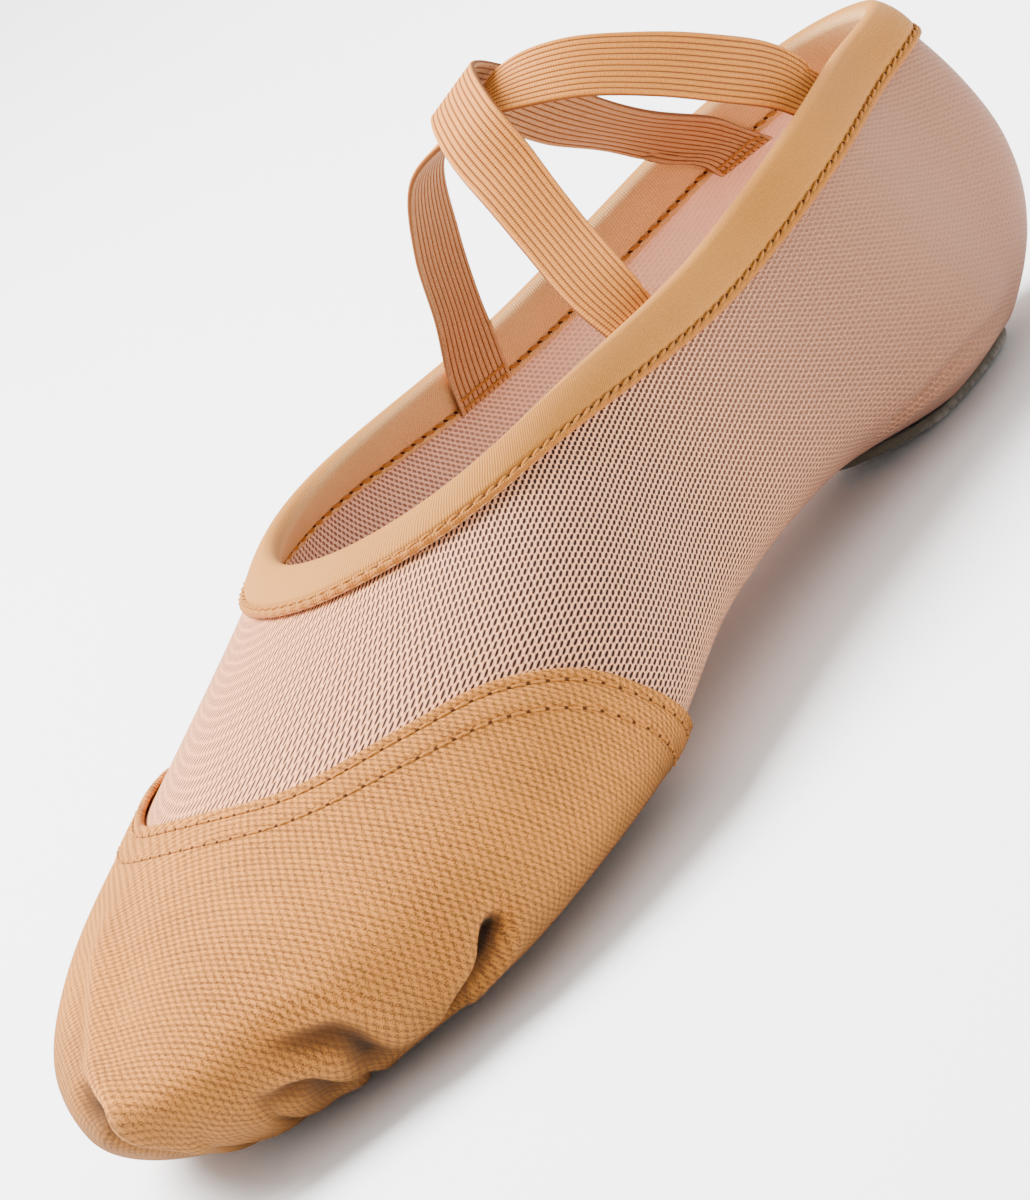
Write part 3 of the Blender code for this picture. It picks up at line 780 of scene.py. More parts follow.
# %% How the canvas is pulled
# y and height of the cap's rear edge, from the vamp to the floor
CANVAS_EDGE = (
    (-0.0735, 0.0415),
    (-0.0690, 0.0398),
    (-0.0570, 0.0386),
    (-0.0450, 0.0362),
    (-0.0350, 0.0300),
    (-0.0280, 0.0212),
    (-0.0210, 0.0105),
    (-0.0140, 0.0020),
)
# The pattern turns slowly round the toe: how far across it this takes
CANVAS_REACH = 60.0
THREAD_ACROSS, THREAD_ALONG = 1.2, 0.95


def bent_canvas(uv):
    """Places counted in threads: how rows and columns run where the cloth is pulled."""
    across, along = uv[..., 0], uv[..., 1]
    turn = CANVAS_REACH * np.tanh(across / CANVAS_REACH)
    bend = CANVAS_REACH**2 * np.log(np.cosh(across / CANVAS_REACH))
    column = 0.43 * across + 0.28 * along + 0.0076 * bend
    column = column - 0.0036 * along**2 - 0.0100 * turn * along
    row = 1.03 * along - 0.025 * across + 0.0158 * bend - 0.0009 * turn * along
    return np.stack([column * THREAD_ACROSS, row * THREAD_ALONG], axis=-1)


def canvas_line(points):
    """Positive behind and above the canvas's rear edge, negative on the canvas."""
    curve = open_curve(CANVAS_EDGE, DENSE)
    height = np.interp(points[..., 1], curve[:, 0], curve[:, 1], right=-1.0)
    return np.minimum(points[..., 1] - CANVAS_EDGE[0][0], points[..., 2] - height)


def first_below(distance, value):
    """Distance along each path where value first turns negative, or its end."""
    found = distance[:, -1].copy()
    for row in range(len(distance)):
        below = np.nonzero(value[row] < 0)[0]
        if len(below) and below[0] > 0:
            hit = below[0]
            before, after = value[row, hit - 1], value[row, hit]
            step = distance[row, hit] - distance[row, hit - 1]
            found[row] = distance[row, hit - 1] + step * before / (before - after)
    return found


print("threads", THREAD_ACROSS, "mm apart across and", THREAD_ALONG, "mm along")

# %% [markdown]
# Canvas frays, so the cap's rear edge is turned under and held by two rows of
# stitches. The turned hem could be a second layer, but its edge would hardly show.
# So it is a height: rounded at the edge, thick as far as the second row, and pulled
# down along both rows.

# %% The turned hem
HEM_RISE, HEM_FALL_WIDTH, HEM_FALL_START = 0.0004, 0.0020, 0.0002
EDGE_DROP, EDGE_WIDTH = 0.0005, 0.0006
PULL_DEPTH, PULL_WIDTH = 0.00035, 0.0006
SEAM_ROWS = (0.0020, 0.0064)
SEAM_STITCH = 0.0029


def hem_height(from_edge):
    """How much higher than flat canvas the hem stands, at distances from its edge."""
    edge = -EDGE_DROP * (1 - np.clip(from_edge / EDGE_WIDTH, 0, 1)) ** 2
    past_rows = from_edge - SEAM_ROWS[-1] + HEM_FALL_START
    rise = HEM_RISE * (1 - ease(past_rows / HEM_FALL_WIDTH))
    pull = sum(-PULL_DEPTH * bell((from_edge - row) / PULL_WIDTH) for row in SEAM_ROWS)
    return edge + rise + pull


print("hem between the rows stands", round(float(hem_height(0.0042)) / MM, 2), "mm high")

# %% [markdown]
# The cap covers the toe from its rear edge down to the forefoot patch. It could be a
# copy of the last's front, but it needs fine faces just where the pleats are. So its
# columns are crowded there, and its rings along the hem. Each vertex keeps how deep
# it lies in a pleat and how far it turns from the light, for the finish to paint
# shade there.

# %% Canvas cap
CAP_COLUMNS, CAP_RINGS, CAP_COARSE = 320, 140, 81
# Stations that are tried as the cap's last one, and the length it has to have there
LAST_TRIALS, SHORTEST = np.linspace(0.3, 0.6, 61), 0.0005
# The pattern is laid flat down to where the canvas faces this far down
UNDERSIDE = -0.25
PATTERN_LEAST = 4 * MM
# Rings along the hem, by their distance from the edge
HEM_RINGS = np.r_[0, 0.15, 0.35, 0.6, np.arange(1.0, 8.6, 0.3)] * MM
# How many columns there are: plain, more on the inner side, and at the two pleats
PLAIN, INNER_SIDE = 0.55, 0.55
PLEATS = ((3.0, 0.243, 0.022), (0.9, 0.10, 0.08))
CROWD_STEPS = 4000
LOWEST = 0.0003
PIT_DEPTH = 0.0036
# Painted shade: the canvas is darker the more it turns from the light, to floor and toe
UNDERSIDE_SHADE = 0.66
FACES_LIGHT = np.array([0.08, 0.80, 0.60])
SHADE_START, SHADE_WIDTH = 0.15, 0.5
SEAMS = {}


def cap_span(stations):
    """Each station's path, its distances, and where the cap begins and ends on it."""
    paths, distance = columns(stations)
    begin = first_below(distance, canvas_line(paths))
    end = first_below(distance, outside_patch(paths, FOREFOOT_PATCH, CLEARANCE))
    return paths, distance, begin, end


def crowded(last, count):
    """Stations for the cap, closer where the pleats are and wider on the outer side."""
    fine = np.linspace(-last, last, CROWD_STEPS)
    crowd = PLAIN + INNER_SIDE * (fine > 0)
    for more, station, width in PLEATS:
        crowd = crowd + more * bell((fine - station) / width)
    run = np.r_[0, np.cumsum((crowd[1:] + crowd[:-1]) / 2)]
    return np.interp(np.linspace(0, run[-1], count), run, fine)


def make_cap():
    """The gathered canvas, its hem, how deep each vertex lies, and its painted shade."""
    _, distance, begin, end = cap_span(np.r_[LAST_TRIALS, -LAST_TRIALS])
    spare = np.minimum(end - begin, distance[:, -1] - end).reshape(2, -1).min(axis=0)
    last = LAST_TRIALS[spare > SHORTEST].max()
    coarse = np.linspace(-last, last, CAP_COARSE)
    paths, distance, begin, end = cap_span(coarse)
    level = (outward(paths)[..., 2] > UNDERSIDE) | (distance <= begin[:, None] + PATTERN_LEAST)
    reach = np.minimum((distance * level).max(axis=1), end)
    wanted = begin[:, None] + (reach - begin)[:, None] * np.linspace(0, 1, PATTERN_CELLS)
    flat = flatten(at_distance(paths, distance, wanted))
    stations = crowded(last, CAP_COLUMNS)
    paths, distance, begin, end = cap_span(stations)
    length, hem_end = (end - begin)[:, None], HEM_RINGS[-1]
    rest = np.linspace(0, 1, CAP_RINGS - len(HEM_RINGS) + 1)[1:]
    below = hem_end + (length - hem_end) * rest
    short = length * np.linspace(0, 1, CAP_RINGS)
    from_begin = np.hstack([np.tile(HEM_RINGS, (CAP_COLUMNS, 1)), below])
    from_begin = np.where(length > 2 * hem_end, from_begin, short)
    wanted = begin[:, None] + from_begin
    share = (wanted - begin[:, None]) / (np.interp(stations, coarse, reach) - begin)[:, None]
    uv = bent_canvas(pattern_uv(flat, coarse, stations, share))
    base = at_distance(paths, distance, wanted)
    normal = outward(base)
    moved = cap_folds(base, normal)
    edge_line = base[:, 0]
    from_edge = np.empty(wanted.shape)
    for row in range(CAP_COLUMNS):
        from_edge[row] = np.linalg.norm(base[row][:, None] - edge_line, axis=-1).min(axis=1)
    face = CANVAS_FACE + hem_height(from_edge)
    outer = base + normal * face[..., None] + moved
    inner = base + normal * (CANVAS_FACE - CANVAS) + moved
    for sheet in (outer, inner):
        sheet[..., 2] = np.maximum(sheet[..., 2], LOWEST)
    faces = grid_faces(CAP_COLUMNS, CAP_RINGS).reshape(-1, 4)
    SEAMS.update(outer=outer, normal=normal, from_edge=from_edge)
    edge_length = round(arc_lengths(edge_line)[-1] / MM)
    print("canvas to station", round(float(last), 3), "edge", edge_length, "mm")
    # How deep each vertex sinks into a fold, for painted shade in the pleats
    pit = np.clip(-(moved * normal).sum(axis=-1) / PIT_DEPTH, 0, 1)
    # Painted shade on the parts that turn from the light, towards the floor and the toe
    turned_away = np.maximum(SHADE_START - normal @ unit(FACES_LIGHT), 0)
    worn = UNDERSIDE_SHADE * (1 - np.exp(-turned_away / SHADE_WIDTH))
    return shell(
        "canvas_cap", outer.reshape(-1, 3), inner.reshape(-1, 3), faces, corner_uv(uv, faces),
        pit=pit.reshape(-1), worn=worn.reshape(-1),
    )


cap = make_cap()

# %% [markdown]
# The binding is one jersey strip folded over the raw rim. A seam holds both legs
# 1.5 mm above their lower edge, so the strip puffs above the seam and rolls to a
# small lip below it. A curve with a bevel could follow the rim, but it would twist
# at the heel. So the profile is one closed loop, set on the last at each station.

# %% Binding profile
BINDING_COLUMNS = 480
SEAM_ABOVE_EDGE = 0.0015
SEAM_AT = BINDING_WIDTH - SEAM_ABOVE_EDGE
SEAM_PITCH = 0.0024
# Heights and half widths of what the seam does to the strip, and its rounded edge
PUFF, SEAM_DIP, SEAM_DIP_WIDTH = 0.00035, 0.0005, 0.0005
LIP, LIP_ABOVE_EDGE, LIP_WIDTH = 0.00025, 0.0009, 0.0007
EDGE_ROUND = 0.0004
# The loop's points: round the rim, round an edge, down an outer and an inner leg
RIM_POINTS, EDGE_POINTS, OUTER_POINTS, INNER_POINTS = 17, 5, 34, 8


def binding_profile():
    """Distances from the collar and heights off the last, outside and inside."""
    middle = (BINDING_OUTER + BINDING_INNER) / 2
    radius = (BINDING_OUTER - BINDING_INNER) / 2
    bore = radius - JERSEY
    turn = np.linspace(0, math.pi, RIM_POINTS)
    hem = np.linspace(0.5 * math.pi, 0, EDGE_POINTS)
    leg = np.linspace(BINDING_WIDTH - EDGE_ROUND, radius, OUTER_POINTS)[:-1]
    above_seam = np.clip((SEAM_AT - leg) / (SEAM_AT - radius), 0, 1)
    puff = PUFF * np.sin(math.pi * above_seam) ** 0.7
    seam = -SEAM_DIP * bell((leg - SEAM_AT) / SEAM_DIP_WIDTH)
    lip = LIP * bell((leg - BINDING_WIDTH + LIP_ABOVE_EDGE) / LIP_WIDTH)
    rise = puff + seam + lip
    edge = BINDING_WIDTH - EDGE_ROUND + EDGE_ROUND * np.sin(hem)
    edge_rise = BINDING_OUTER - EDGE_ROUND * (1 - np.cos(hem))
    flat = np.stack([edge, edge_rise], axis=1)[:-1]
    outer = [flat, np.stack([leg, BINDING_OUTER + rise], axis=1)]
    outer.append(np.stack([radius * (1 - np.sin(turn)), middle + radius * np.cos(turn)], axis=1))
    outer.append(np.stack([leg, 2 * middle - BINDING_OUTER - rise], axis=1)[::-1])
    outer.append(np.stack([edge, 2 * middle - edge_rise], axis=1)[:-1][::-1])
    back = np.linspace(BINDING_WIDTH - EDGE_ROUND / 2, radius, INNER_POINTS)[:-1]
    inner = [np.stack([back, np.full_like(back, middle - bore)], axis=1)]
    inner.append(np.stack([radius - bore * np.sin(turn), middle - bore * np.cos(turn)], axis=1))
    inner.append(np.stack([back, np.full_like(back, middle + bore)], axis=1)[::-1])
    return np.vstack(outer), np.vstack(inner)


print("binding profile:", [len(part) for part in binding_profile()], "points outside and inside")

# %% [markdown]
# The stitches draw the strip's lower edge into a fine slanting ripple. It could be
# bump only, but it shows against the mesh as an uneven edge, so it is in the shape.
# The strip closes twice, round its profile and round the collar.

# %% Collar binding
RIPPLE, RIPPLE_SLANT = 0.00016, 0.0016
RIPPLE_START, RIPPLE_WIDTH = 0.0004, 0.0008


def binding_surface(stations):
    """The folded strip at each station: points, and cloth places in millimetres."""
    outer, inner = binding_profile()
    profile = np.vstack([outer, inner, outer[:1]])
    paths, distance = columns(stations)
    base = at_distance(paths, distance, np.tile(profile[:, 0], (len(stations), 1)))
    collar = base[:, len(outer) // 2]
    along = arc_lengths(collar)
    twist = along[:, None] / SEAM_PITCH + (profile[None, :, 0] - SEAM_AT) / RIPPLE_SLANT
    near_edge = ease((profile[:, 0] - SEAM_AT + RIPPLE_START) / RIPPLE_WIDTH)
    near_edge = near_edge * (np.arange(len(profile)) < len(outer))
    ripple = RIPPLE * np.sin(2 * math.pi * twist) * near_edge
    sign = np.where(profile[:, 1] > (BINDING_OUTER + BINDING_INNER) / 2, 1.0, -1.0)
    points = base + outward(base) * (profile[None, :, 1:] + (sign * ripple)[..., None])
    across = arc_lengths(profile)
    uv = np.stack(np.broadcast_arrays(along[:, None] / MM, across[None] / MM), axis=-1)
    return points, uv


def make_binding():
    """The binding as one closed tube round the collar, with its ends made one."""
    stations = np.linspace(-1, 1, BINDING_COLUMNS + 1)
    points, uv = binding_surface(stations)
    rows, cells = points.shape[:2]
    number = np.arange(rows * cells).reshape(rows, cells)
    number[-1], number[:, -1] = number[0], number[:, 0]
    number[-1, -1] = number[0, 0]
    faces = grid_faces(rows, cells).reshape(-1, 4)
    places = corner_uv(uv, faces)[:, ::-1]
    used, numbers = np.unique(number.reshape(-1)[faces][:, ::-1], return_inverse=True)
    mesh = bpy.data.meshes.new("binding")
    mesh.from_pydata(points.reshape(-1, 3)[used].tolist(), [], numbers.reshape(-1, 4).tolist())
    mesh.uv_layers.new(name="cloth").data.foreach_set("uv", places.ravel().astype(np.float32))
    mesh.shade_smooth()
    print("binding", len(faces), "faces, round the collar", round(float(uv[-1, 0, 0])), "mm")
    return link(bpy.data.objects.new("binding", mesh))


binding = make_binding()

# %% [markdown]
# Two elastic tapes cross over the instep, and their ends are stitched inside the
# binding. A tape could be a curve with a flat bevel, but it wouldn't turn its faces
# as a real tape does. So each row of a table has a point of the tape's middle line
# and the direction across it. The ends hang against the wall inside the binding.

# %% Where the tapes run
# x, y and z of the middle line, and the direction across the tape
TAPE_OVER = (
    (0.0186, 0.0297, 0.0600, 0.287, 0.937, -0.148),
    (0.0120, 0.0337, 0.0688, 0.300, 0.931, -0.178),
    (0.0060, 0.0376, 0.0782, 0.401, 0.774, -0.069),
    (0.0001, 0.0416, 0.0868, 0.946, 0.852, 0.329),
    (-0.0078, 0.0495, 0.0903, 0.654, 0.409, 0.297),
    (-0.0098, 0.0568, 0.0852, 0.656, 0.335, 0.283),
    (-0.0091, 0.0648, 0.0745, 0.877, 0.458, 0.387),
    (-0.0103, 0.0755, 0.0644, 1.505, 0.467, 0.364),
)
TAPE_UNDER = (
    (0.0156, 0.0851, 0.0609, -0.151, 0.698, 0.657),
    (0.0156, 0.0759, 0.0693, -0.123, 0.647, 0.684),
    (0.0132, 0.0670, 0.0771, -0.251, 0.711, 0.668),
    (0.0076, 0.0584, 0.0840, -0.427, 0.884, 0.718),
    (-0.0009, 0.0517, 0.0869, -0.325, 0.550, 0.217),
    (-0.0095, 0.0467, 0.0853, -0.401, 0.879, -0.033),
    (-0.0175, 0.0430, 0.0814, -0.334, 1.036, -0.130),
    (-0.0222, 0.0400, 0.0709, -0.151, 0.960, -0.191),
    (-0.0245, 0.0373, 0.0602, -0.120, 0.996, -0.160),
)
# y and height of two places inside the binding, at each end of each tape
OVER_ANCHORS = (((0.0270, 0.0470), (0.0285, 0.0530)), ((0.0915, 0.0530), (0.0965, 0.0470)))
UNDER_ANCHORS = (((0.0935, 0.0470), (0.0900, 0.0535)), ((0.0365, 0.0530), (0.0358, 0.0465)))


def anchor_rows(anchors, side):
    """Tape rows that hang against the inner leg of the binding."""
    rows = []
    for y, z in anchors:
        on_wall = np.array([[wall_x(y, z, side), y, z]])
        normal = outward(on_wall)[0]
        across = unit(np.cross(normal, np.cross([0.0, 1.0, 0.0], normal)))
        rows.append((*(on_wall[0] + normal * TAPE_INSET), *across))
    return rows


def tape_rows(rows, anchors):
    """A tape's whole line, from its inner end over the instep to its outer end."""
    return anchor_rows(anchors[0], 1) + list(rows) + anchor_rows(anchors[1], -1)


over_rows, under_rows = tape_rows(TAPE_OVER, OVER_ANCHORS), tape_rows(TAPE_UNDER, UNDER_ANCHORS)
print("tape rows:", len(over_rows), "over and", len(under_rows), "under")

# %% [markdown]
# Elastic is ribbed along its length, because each rib covers a rubber thread. The
# ribs could be bump, but they show at the tape's ends and edges, so they are in the
# shape. Where a tape goes below the collar, its points are moved in until it lies
# against the binding and not through it. Each end is held by two rows of stitches.

# %% Elastic tapes
TAPE_RIBS = 11
TAPE_STEPS, TAPE_CELLS = 240, 88
RIB_HEIGHT, RIB_ROUND = 0.00012, 0.7
# The tape's thin edges: their share of its width, and how much thinner they get
EDGE_SHARE, EDGE_THINNER = 0.035, 0.7
# The tapes are held by stitches across their ends: how far from the end, how many
# steps there are between the two rows, and how many cells from the tape's edges
TACK_AT, TACK_GAP, TACK_MARGIN = 0.0012, 5, 5
TACKS = []


def tuck_inside(points, height):
    """Points below the collar, moved in until they stand no further out than height."""
    slope = fullness_slope(points)
    steepness = np.linalg.norm(slope, axis=-1) / (2 * SLOPE_STEP)
    proud = (fullness(points) - 1) / steepness
    hidden = points[..., 2] < collar_height(points[..., 1]) + BINDING_OUTER
    return points + unit(slope) * np.where(hidden, np.minimum(height - proud, 0.0), 0.0)[..., None]


def make_tape(name, rows):
    """A ribbed ribbon through its rows."""
    curve = open_curve(np.array(rows), TAPE_STEPS)
    centre, across = curve[:, :3], unit(curve[:, 3:])
    share = np.linspace(-0.5, 0.5, TAPE_CELLS + 1)
    grid = centre[:, None] + across[:, None] * (share[None, :, None] * TAPE_WIDTH)
    grid = tuck_inside(grid, TAPE_INSET)
    along_grid = np.gradient(grid, axis=0)
    across_grid = np.gradient(grid, axis=1)
    normal = unit(np.cross(across_grid, along_grid))
    rib = np.abs(np.sin(math.pi * TAPE_RIBS * (share + 0.5))) ** RIB_ROUND
    edge = np.clip((np.abs(share) - (0.5 - EDGE_SHARE)) / EDGE_SHARE, 0, 1)
    half = (TAPE_THICKNESS / 2 - RIB_HEIGHT * (1 - rib)) * (1 - EDGE_THINNER * edge**2)
    outer = grid + normal * half[None, :, None]
    inner = grid - normal * half[None, :, None]
    faces = grid_faces(TAPE_STEPS, TAPE_CELLS + 1).reshape(-1, 4)
    run = arc_lengths(centre)
    for row in (np.searchsorted(run, TACK_AT), np.searchsorted(run, run[-1] - TACK_AT)):
        for step in (0, TACK_GAP):
            cells = slice(TACK_MARGIN, TAPE_CELLS - TACK_MARGIN)
            line = row + (step if row < TAPE_STEPS / 2 else -step)
            TACKS.append((inner[line, cells], -normal[line, cells]))
    uv = np.stack(np.broadcast_arrays(share[None] * TAPE_WIDTH / MM, run[:, None] / MM), axis=-1)
    return shell(name, outer.reshape(-1, 3), inner.reshape(-1, 3), faces, corner_uv(uv, faces))


tape_over = make_tape("tape_over", over_rows)
tape_under = make_tape("tape_under", under_rows)

# %% [markdown]
# The suede patches are cut from flat hide and glued under the shoe, and the cotton
# insoles lie above them inside. They could be flat plates, but the sole curves up
# at its edges. So each is a set of oval rings on the last's underside, with a flat
# part where it touches the floor, and its cut edge is a little rounded.

# %% Sole patches and insoles
PAD_SIDES, PAD_RINGS = 180, 26
FIRST_RING = 0.04
# The pad's rounded edge: its share of the width, and how much thinner it gets
PAD_EDGE, PAD_THINNER = 0.015, 0.3


def off_sole(plan, height):
    """Points under the last at plan positions, moved off it but not below the floor."""
    x, y = plan[..., 0], plan[..., 1]
    centre, half, bottom, widest, _ = section(y)
    across = np.clip(np.abs(x - centre) / half, 0, 1)
    z = widest - (widest - bottom) * (1 - across**ROUND_BELOW) ** (1 / ROUND_BELOW)
    points = np.stack([x, y, z], axis=-1)
    points = points + outward(points) * np.asarray(height)[..., None]
    points[..., 2] = np.maximum(points[..., 2], 0.0)
    return points


def make_pad(name, patch, margin, lower, upper):
    """A pad of a patch's outline between two heights off the last, its edge rounded."""
    x, y, half_width, half_length, exponent = patch
    angle = np.linspace(0, 2 * math.pi, PAD_SIDES, endpoint=False)
    outline = np.stack([
        (half_width + margin) * np.sign(np.cos(angle)) * np.abs(np.cos(angle)) ** (2 / exponent),
        (half_length + margin) * np.sign(np.sin(angle)) * np.abs(np.sin(angle)) ** (2 / exponent),
    ], axis=-1)
    share = np.sin(np.linspace(FIRST_RING, 0.5 * math.pi, PAD_RINGS))
    edge = np.clip((share - (1 - PAD_EDGE)) / PAD_EDGE, 0, 1) ** 2 * PAD_THINNER
    plan = np.array([x, y]) + outline[None] * share[:, None, None]
    hub_plan = np.array([[x, y]])
    sheets = []
    thick = lower - upper
    for level, inward in ((lower, -1), (upper, 1)):
        height = np.broadcast_to((level + inward * edge * thick)[:, None], plan.shape[:2])
        hub, rings = off_sole(hub_plan, np.array([level])), off_sole(plan, height)
        sheets.append(np.vstack([hub, rings.reshape(-1, 3)]))
    ring = 1 + np.arange(PAD_RINGS * PAD_SIDES).reshape(PAD_RINGS, PAD_SIDES)
    ring = np.hstack([ring, ring[:, :1]])
    quads = ring.reshape(-1)[grid_faces(*ring.shape).reshape(-1, 4)]
    fan = np.stack([np.zeros(PAD_SIDES, int), ring[0, 1:], ring[0, :-1]], axis=1)
    count = len(sheets[0])
    ahead, behind = ring[-1, 1:], ring[-1, :-1]
    rim = np.stack([ahead, behind, behind + count, ahead + count], axis=1)
    faces = quads.tolist() + fan.tolist() + (quads[:, ::-1] + count).tolist()
    faces += (fan[:, ::-1] + count).tolist() + rim[:, ::-1].tolist()
    mesh = bpy.data.meshes.new(name)
    mesh.from_pydata(np.vstack(sheets).tolist(), [], faces)
    mesh.uv_layers.new(name="cloth")
    mesh.shade_smooth()
    print(name, len(faces), "faces")
    return link(bpy.data.objects.new(name, mesh))


# Margin round the patch's outline, lower and upper face
SOLE_LAYER = 0.0, SUEDE_FACE, SUEDE_FACE - SUEDE
INSOLE_LAYER = INSOLE_MARGIN, COTTON_FACE, COTTON_FACE - COTTON
pads = {
    "forefoot_sole": make_pad("forefoot_suede", FOREFOOT_PATCH, *SOLE_LAYER),
    "heel_sole": make_pad("heel_suede", HEEL_PATCH, *SOLE_LAYER),
    "forefoot_insole": make_pad("forefoot_cotton", FOREFOOT_PATCH, *INSOLE_LAYER),
    "heel_insole": make_pad("heel_cotton", HEEL_PATCH, *INSOLE_LAYER),
}

# %% [markdown]
# Every seam is a row of short thread stitches. One stitch is a thread bent up over
# the cloth, with both ends in it. Each could be modelled, but there are hundreds. A
# Geometry Nodes tree puts a stitch on each point of a row and turns it along the
# row, so a row needs only its points.

# %% One stitch
DIP_SHARE, ARCH_SHARE = -0.8, 2.6
THREAD_STEPS, THREAD_SIDES = 7, 6


def stitch_tree():
    """A node tree that turns points into stitches, and the names of its sizes."""
    tree = bpy.data.node_groups.new("stitch_row", "GeometryNodeTree")
    face = tree.interface
    face.new_socket("Geometry", in_out="INPUT", socket_type="NodeSocketGeometry")
    sizes = {}
    for name in ("Stitch length", "Thread radius", "Stitch rise"):
        socket = face.new_socket(name, in_out="INPUT", socket_type="NodeSocketFloat")
        sizes[name] = socket.identifier
    socket = face.new_socket("Thread", in_out="INPUT", socket_type="NodeSocketMaterial")
    sizes["Thread"] = socket.identifier
    face.new_socket("Geometry", in_out="OUTPUT", socket_type="NodeSocketGeometry")
    nodes, links = tree.nodes, tree.links
    given = nodes.new("NodeGroupInput")
    result = nodes.new("NodeGroupOutput")

    def times(size, factor):
        node = nodes.new("ShaderNodeMath")
        node.operation = "MULTIPLY"
        links.new(given.outputs[size], node.inputs[0])
        node.inputs[1].default_value = factor
        return node.outputs[0]

    def bend_point(name, along, up):
        node = nodes.new("ShaderNodeCombineXYZ")
        if along:
            links.new(times("Stitch length", along), node.inputs["X"])
        links.new(times("Stitch rise", up), node.inputs["Z"])
        links.new(node.outputs[0], bent.inputs[name])

    bent = nodes.new("GeometryNodeCurveQuadraticBezier")
    bent.inputs["Resolution"].default_value = THREAD_STEPS
    bend_point("Start", -0.5, DIP_SHARE)
    bend_point("Middle", 0, ARCH_SHARE)
    bend_point("End", 0.5, DIP_SHARE)
    round_thread = nodes.new("GeometryNodeCurvePrimitiveCircle")
    round_thread.inputs["Resolution"].default_value = THREAD_SIDES
    links.new(given.outputs["Thread radius"], round_thread.inputs["Radius"])
    thread = nodes.new("GeometryNodeCurveToMesh")
    thread.inputs["Fill Caps"].default_value = True
    links.new(bent.outputs[0], thread.inputs["Curve"])
    links.new(round_thread.outputs[0], thread.inputs["Profile Curve"])
    turns = []
    for attribute, axis in (("heading", "X"), ("facing", "Z")):
        read = nodes.new("GeometryNodeInputNamedAttribute")
        read.data_type = "FLOAT_VECTOR"
        read.inputs["Name"].default_value = attribute
        turn = nodes.new("FunctionNodeAlignRotationToVector")
        turn.axis = axis
        turn.pivot_axis = "AUTO" if axis == "X" else "X"
        links.new(read.outputs[0], turn.inputs["Vector"])
        if turns:
            links.new(turns[-1].outputs[0], turn.inputs["Rotation"])
        turns.append(turn)
    spread = nodes.new("GeometryNodeInstanceOnPoints")
    links.new(given.outputs["Geometry"], spread.inputs["Points"])
    links.new(thread.outputs[0], spread.inputs["Instance"])
    links.new(turns[-1].outputs[0], spread.inputs["Rotation"])
    real = nodes.new("GeometryNodeRealizeInstances")
    links.new(spread.outputs[0], real.inputs[0])
    dressed = nodes.new("GeometryNodeSetMaterial")
    links.new(real.outputs[0], dressed.inputs["Geometry"])
    links.new(given.outputs["Thread"], dressed.inputs["Material"])
    links.new(dressed.outputs[0], result.inputs[0])
    return tree, sizes


STITCH_TREE, STITCH_SIZES = stitch_tree()


def stitched(name, rows, length, radius, rise, thread):
    """A plain mesh of stitches at the rows' points, made of one thread."""
    places, headings, facings = rows
    mesh = bpy.data.meshes.new(name)
    mesh.from_pydata(places.tolist(), [], [])
    for attribute, vectors in (("heading", headings), ("facing", facings)):
        kept = mesh.attributes.new(attribute, "FLOAT_VECTOR", "POINT")
        kept.data.foreach_set("vector", vectors.ravel())
    row = link(bpy.data.objects.new(name + "_points", mesh))
    modifier = row.modifiers.new("stitches", "NODES")
    modifier.node_group = STITCH_TREE
    for label, value in (
        ("Stitch length", length), ("Thread radius", radius), ("Stitch rise", rise), ("Thread", thread),
    ):
        modifier[STITCH_SIZES[label]] = value
    made = bpy.data.meshes.new_from_object(row.evaluated_get(bpy.context.evaluated_depsgraph_get()))
    made.name = name
    bpy.data.objects.remove(row, do_unlink=True)
    made.shade_smooth()
    print(name, len(places), "stitches,", len(made.polygons), "faces")
    return link(bpy.data.objects.new(name, made))


print("stitch tree:", len(STITCH_TREE.nodes), "nodes")

# %% [markdown]
# A row needs points at an even pitch, the way the seam runs and the way the cloth
# faces. They could be read off the finished meshes, but the seams are known: a set
# distance from an edge. So each row is a line over the cloth, cut into even steps.
# A start of nought gives the needle holes, halfway between the stitches.

# %% Rows of stitches
AHEAD = 0.3
BINDING_SLANT = 0.28
# How deep the binding's seam lies in the cloth, and how far below the seam line
SEAM_DEPTH, SEAM_LOWER = 0.0002, 0.0002
TACK_PITCH = 0.0016


def spaced(line, normals, pitch, start=0.5):
    """Even points along a line with their headings and normals."""
    run = arc_lengths(line)
    count = int(run[-1] / pitch)
    at = (np.arange(count) + start) * run[-1] / count

    def along(values, where):
        return np.stack([np.interp(where, run, values[:, axis]) for axis in range(3)], axis=1)

    heading = unit(along(line, at + AHEAD * pitch) - along(line, at - AHEAD * pitch))
    return along(line, at), heading, unit(along(normals, at))


def canvas_rows(start=0.5):
    """Both seams along the canvas edge, as lines over its outer face."""
    rows = []
    for row in SEAM_ROWS:
        line, normals = [], []
        for outer, normal, away in zip(SEAMS["outer"], SEAMS["normal"], SEAMS["from_edge"]):
            beyond = np.nonzero(away > row)[0]
            if len(beyond) and beyond[0] > 0:
                cell = beyond[0]
                blend = (row - away[cell - 1]) / (away[cell] - away[cell - 1])
                line.append(outer[cell - 1] * (1 - blend) + outer[cell] * blend)
                normals.append(normal[cell])
        rows.append(spaced(np.array(line), np.array(normals), SEAM_STITCH, start))
    return [np.vstack(column) for column in zip(*rows)]


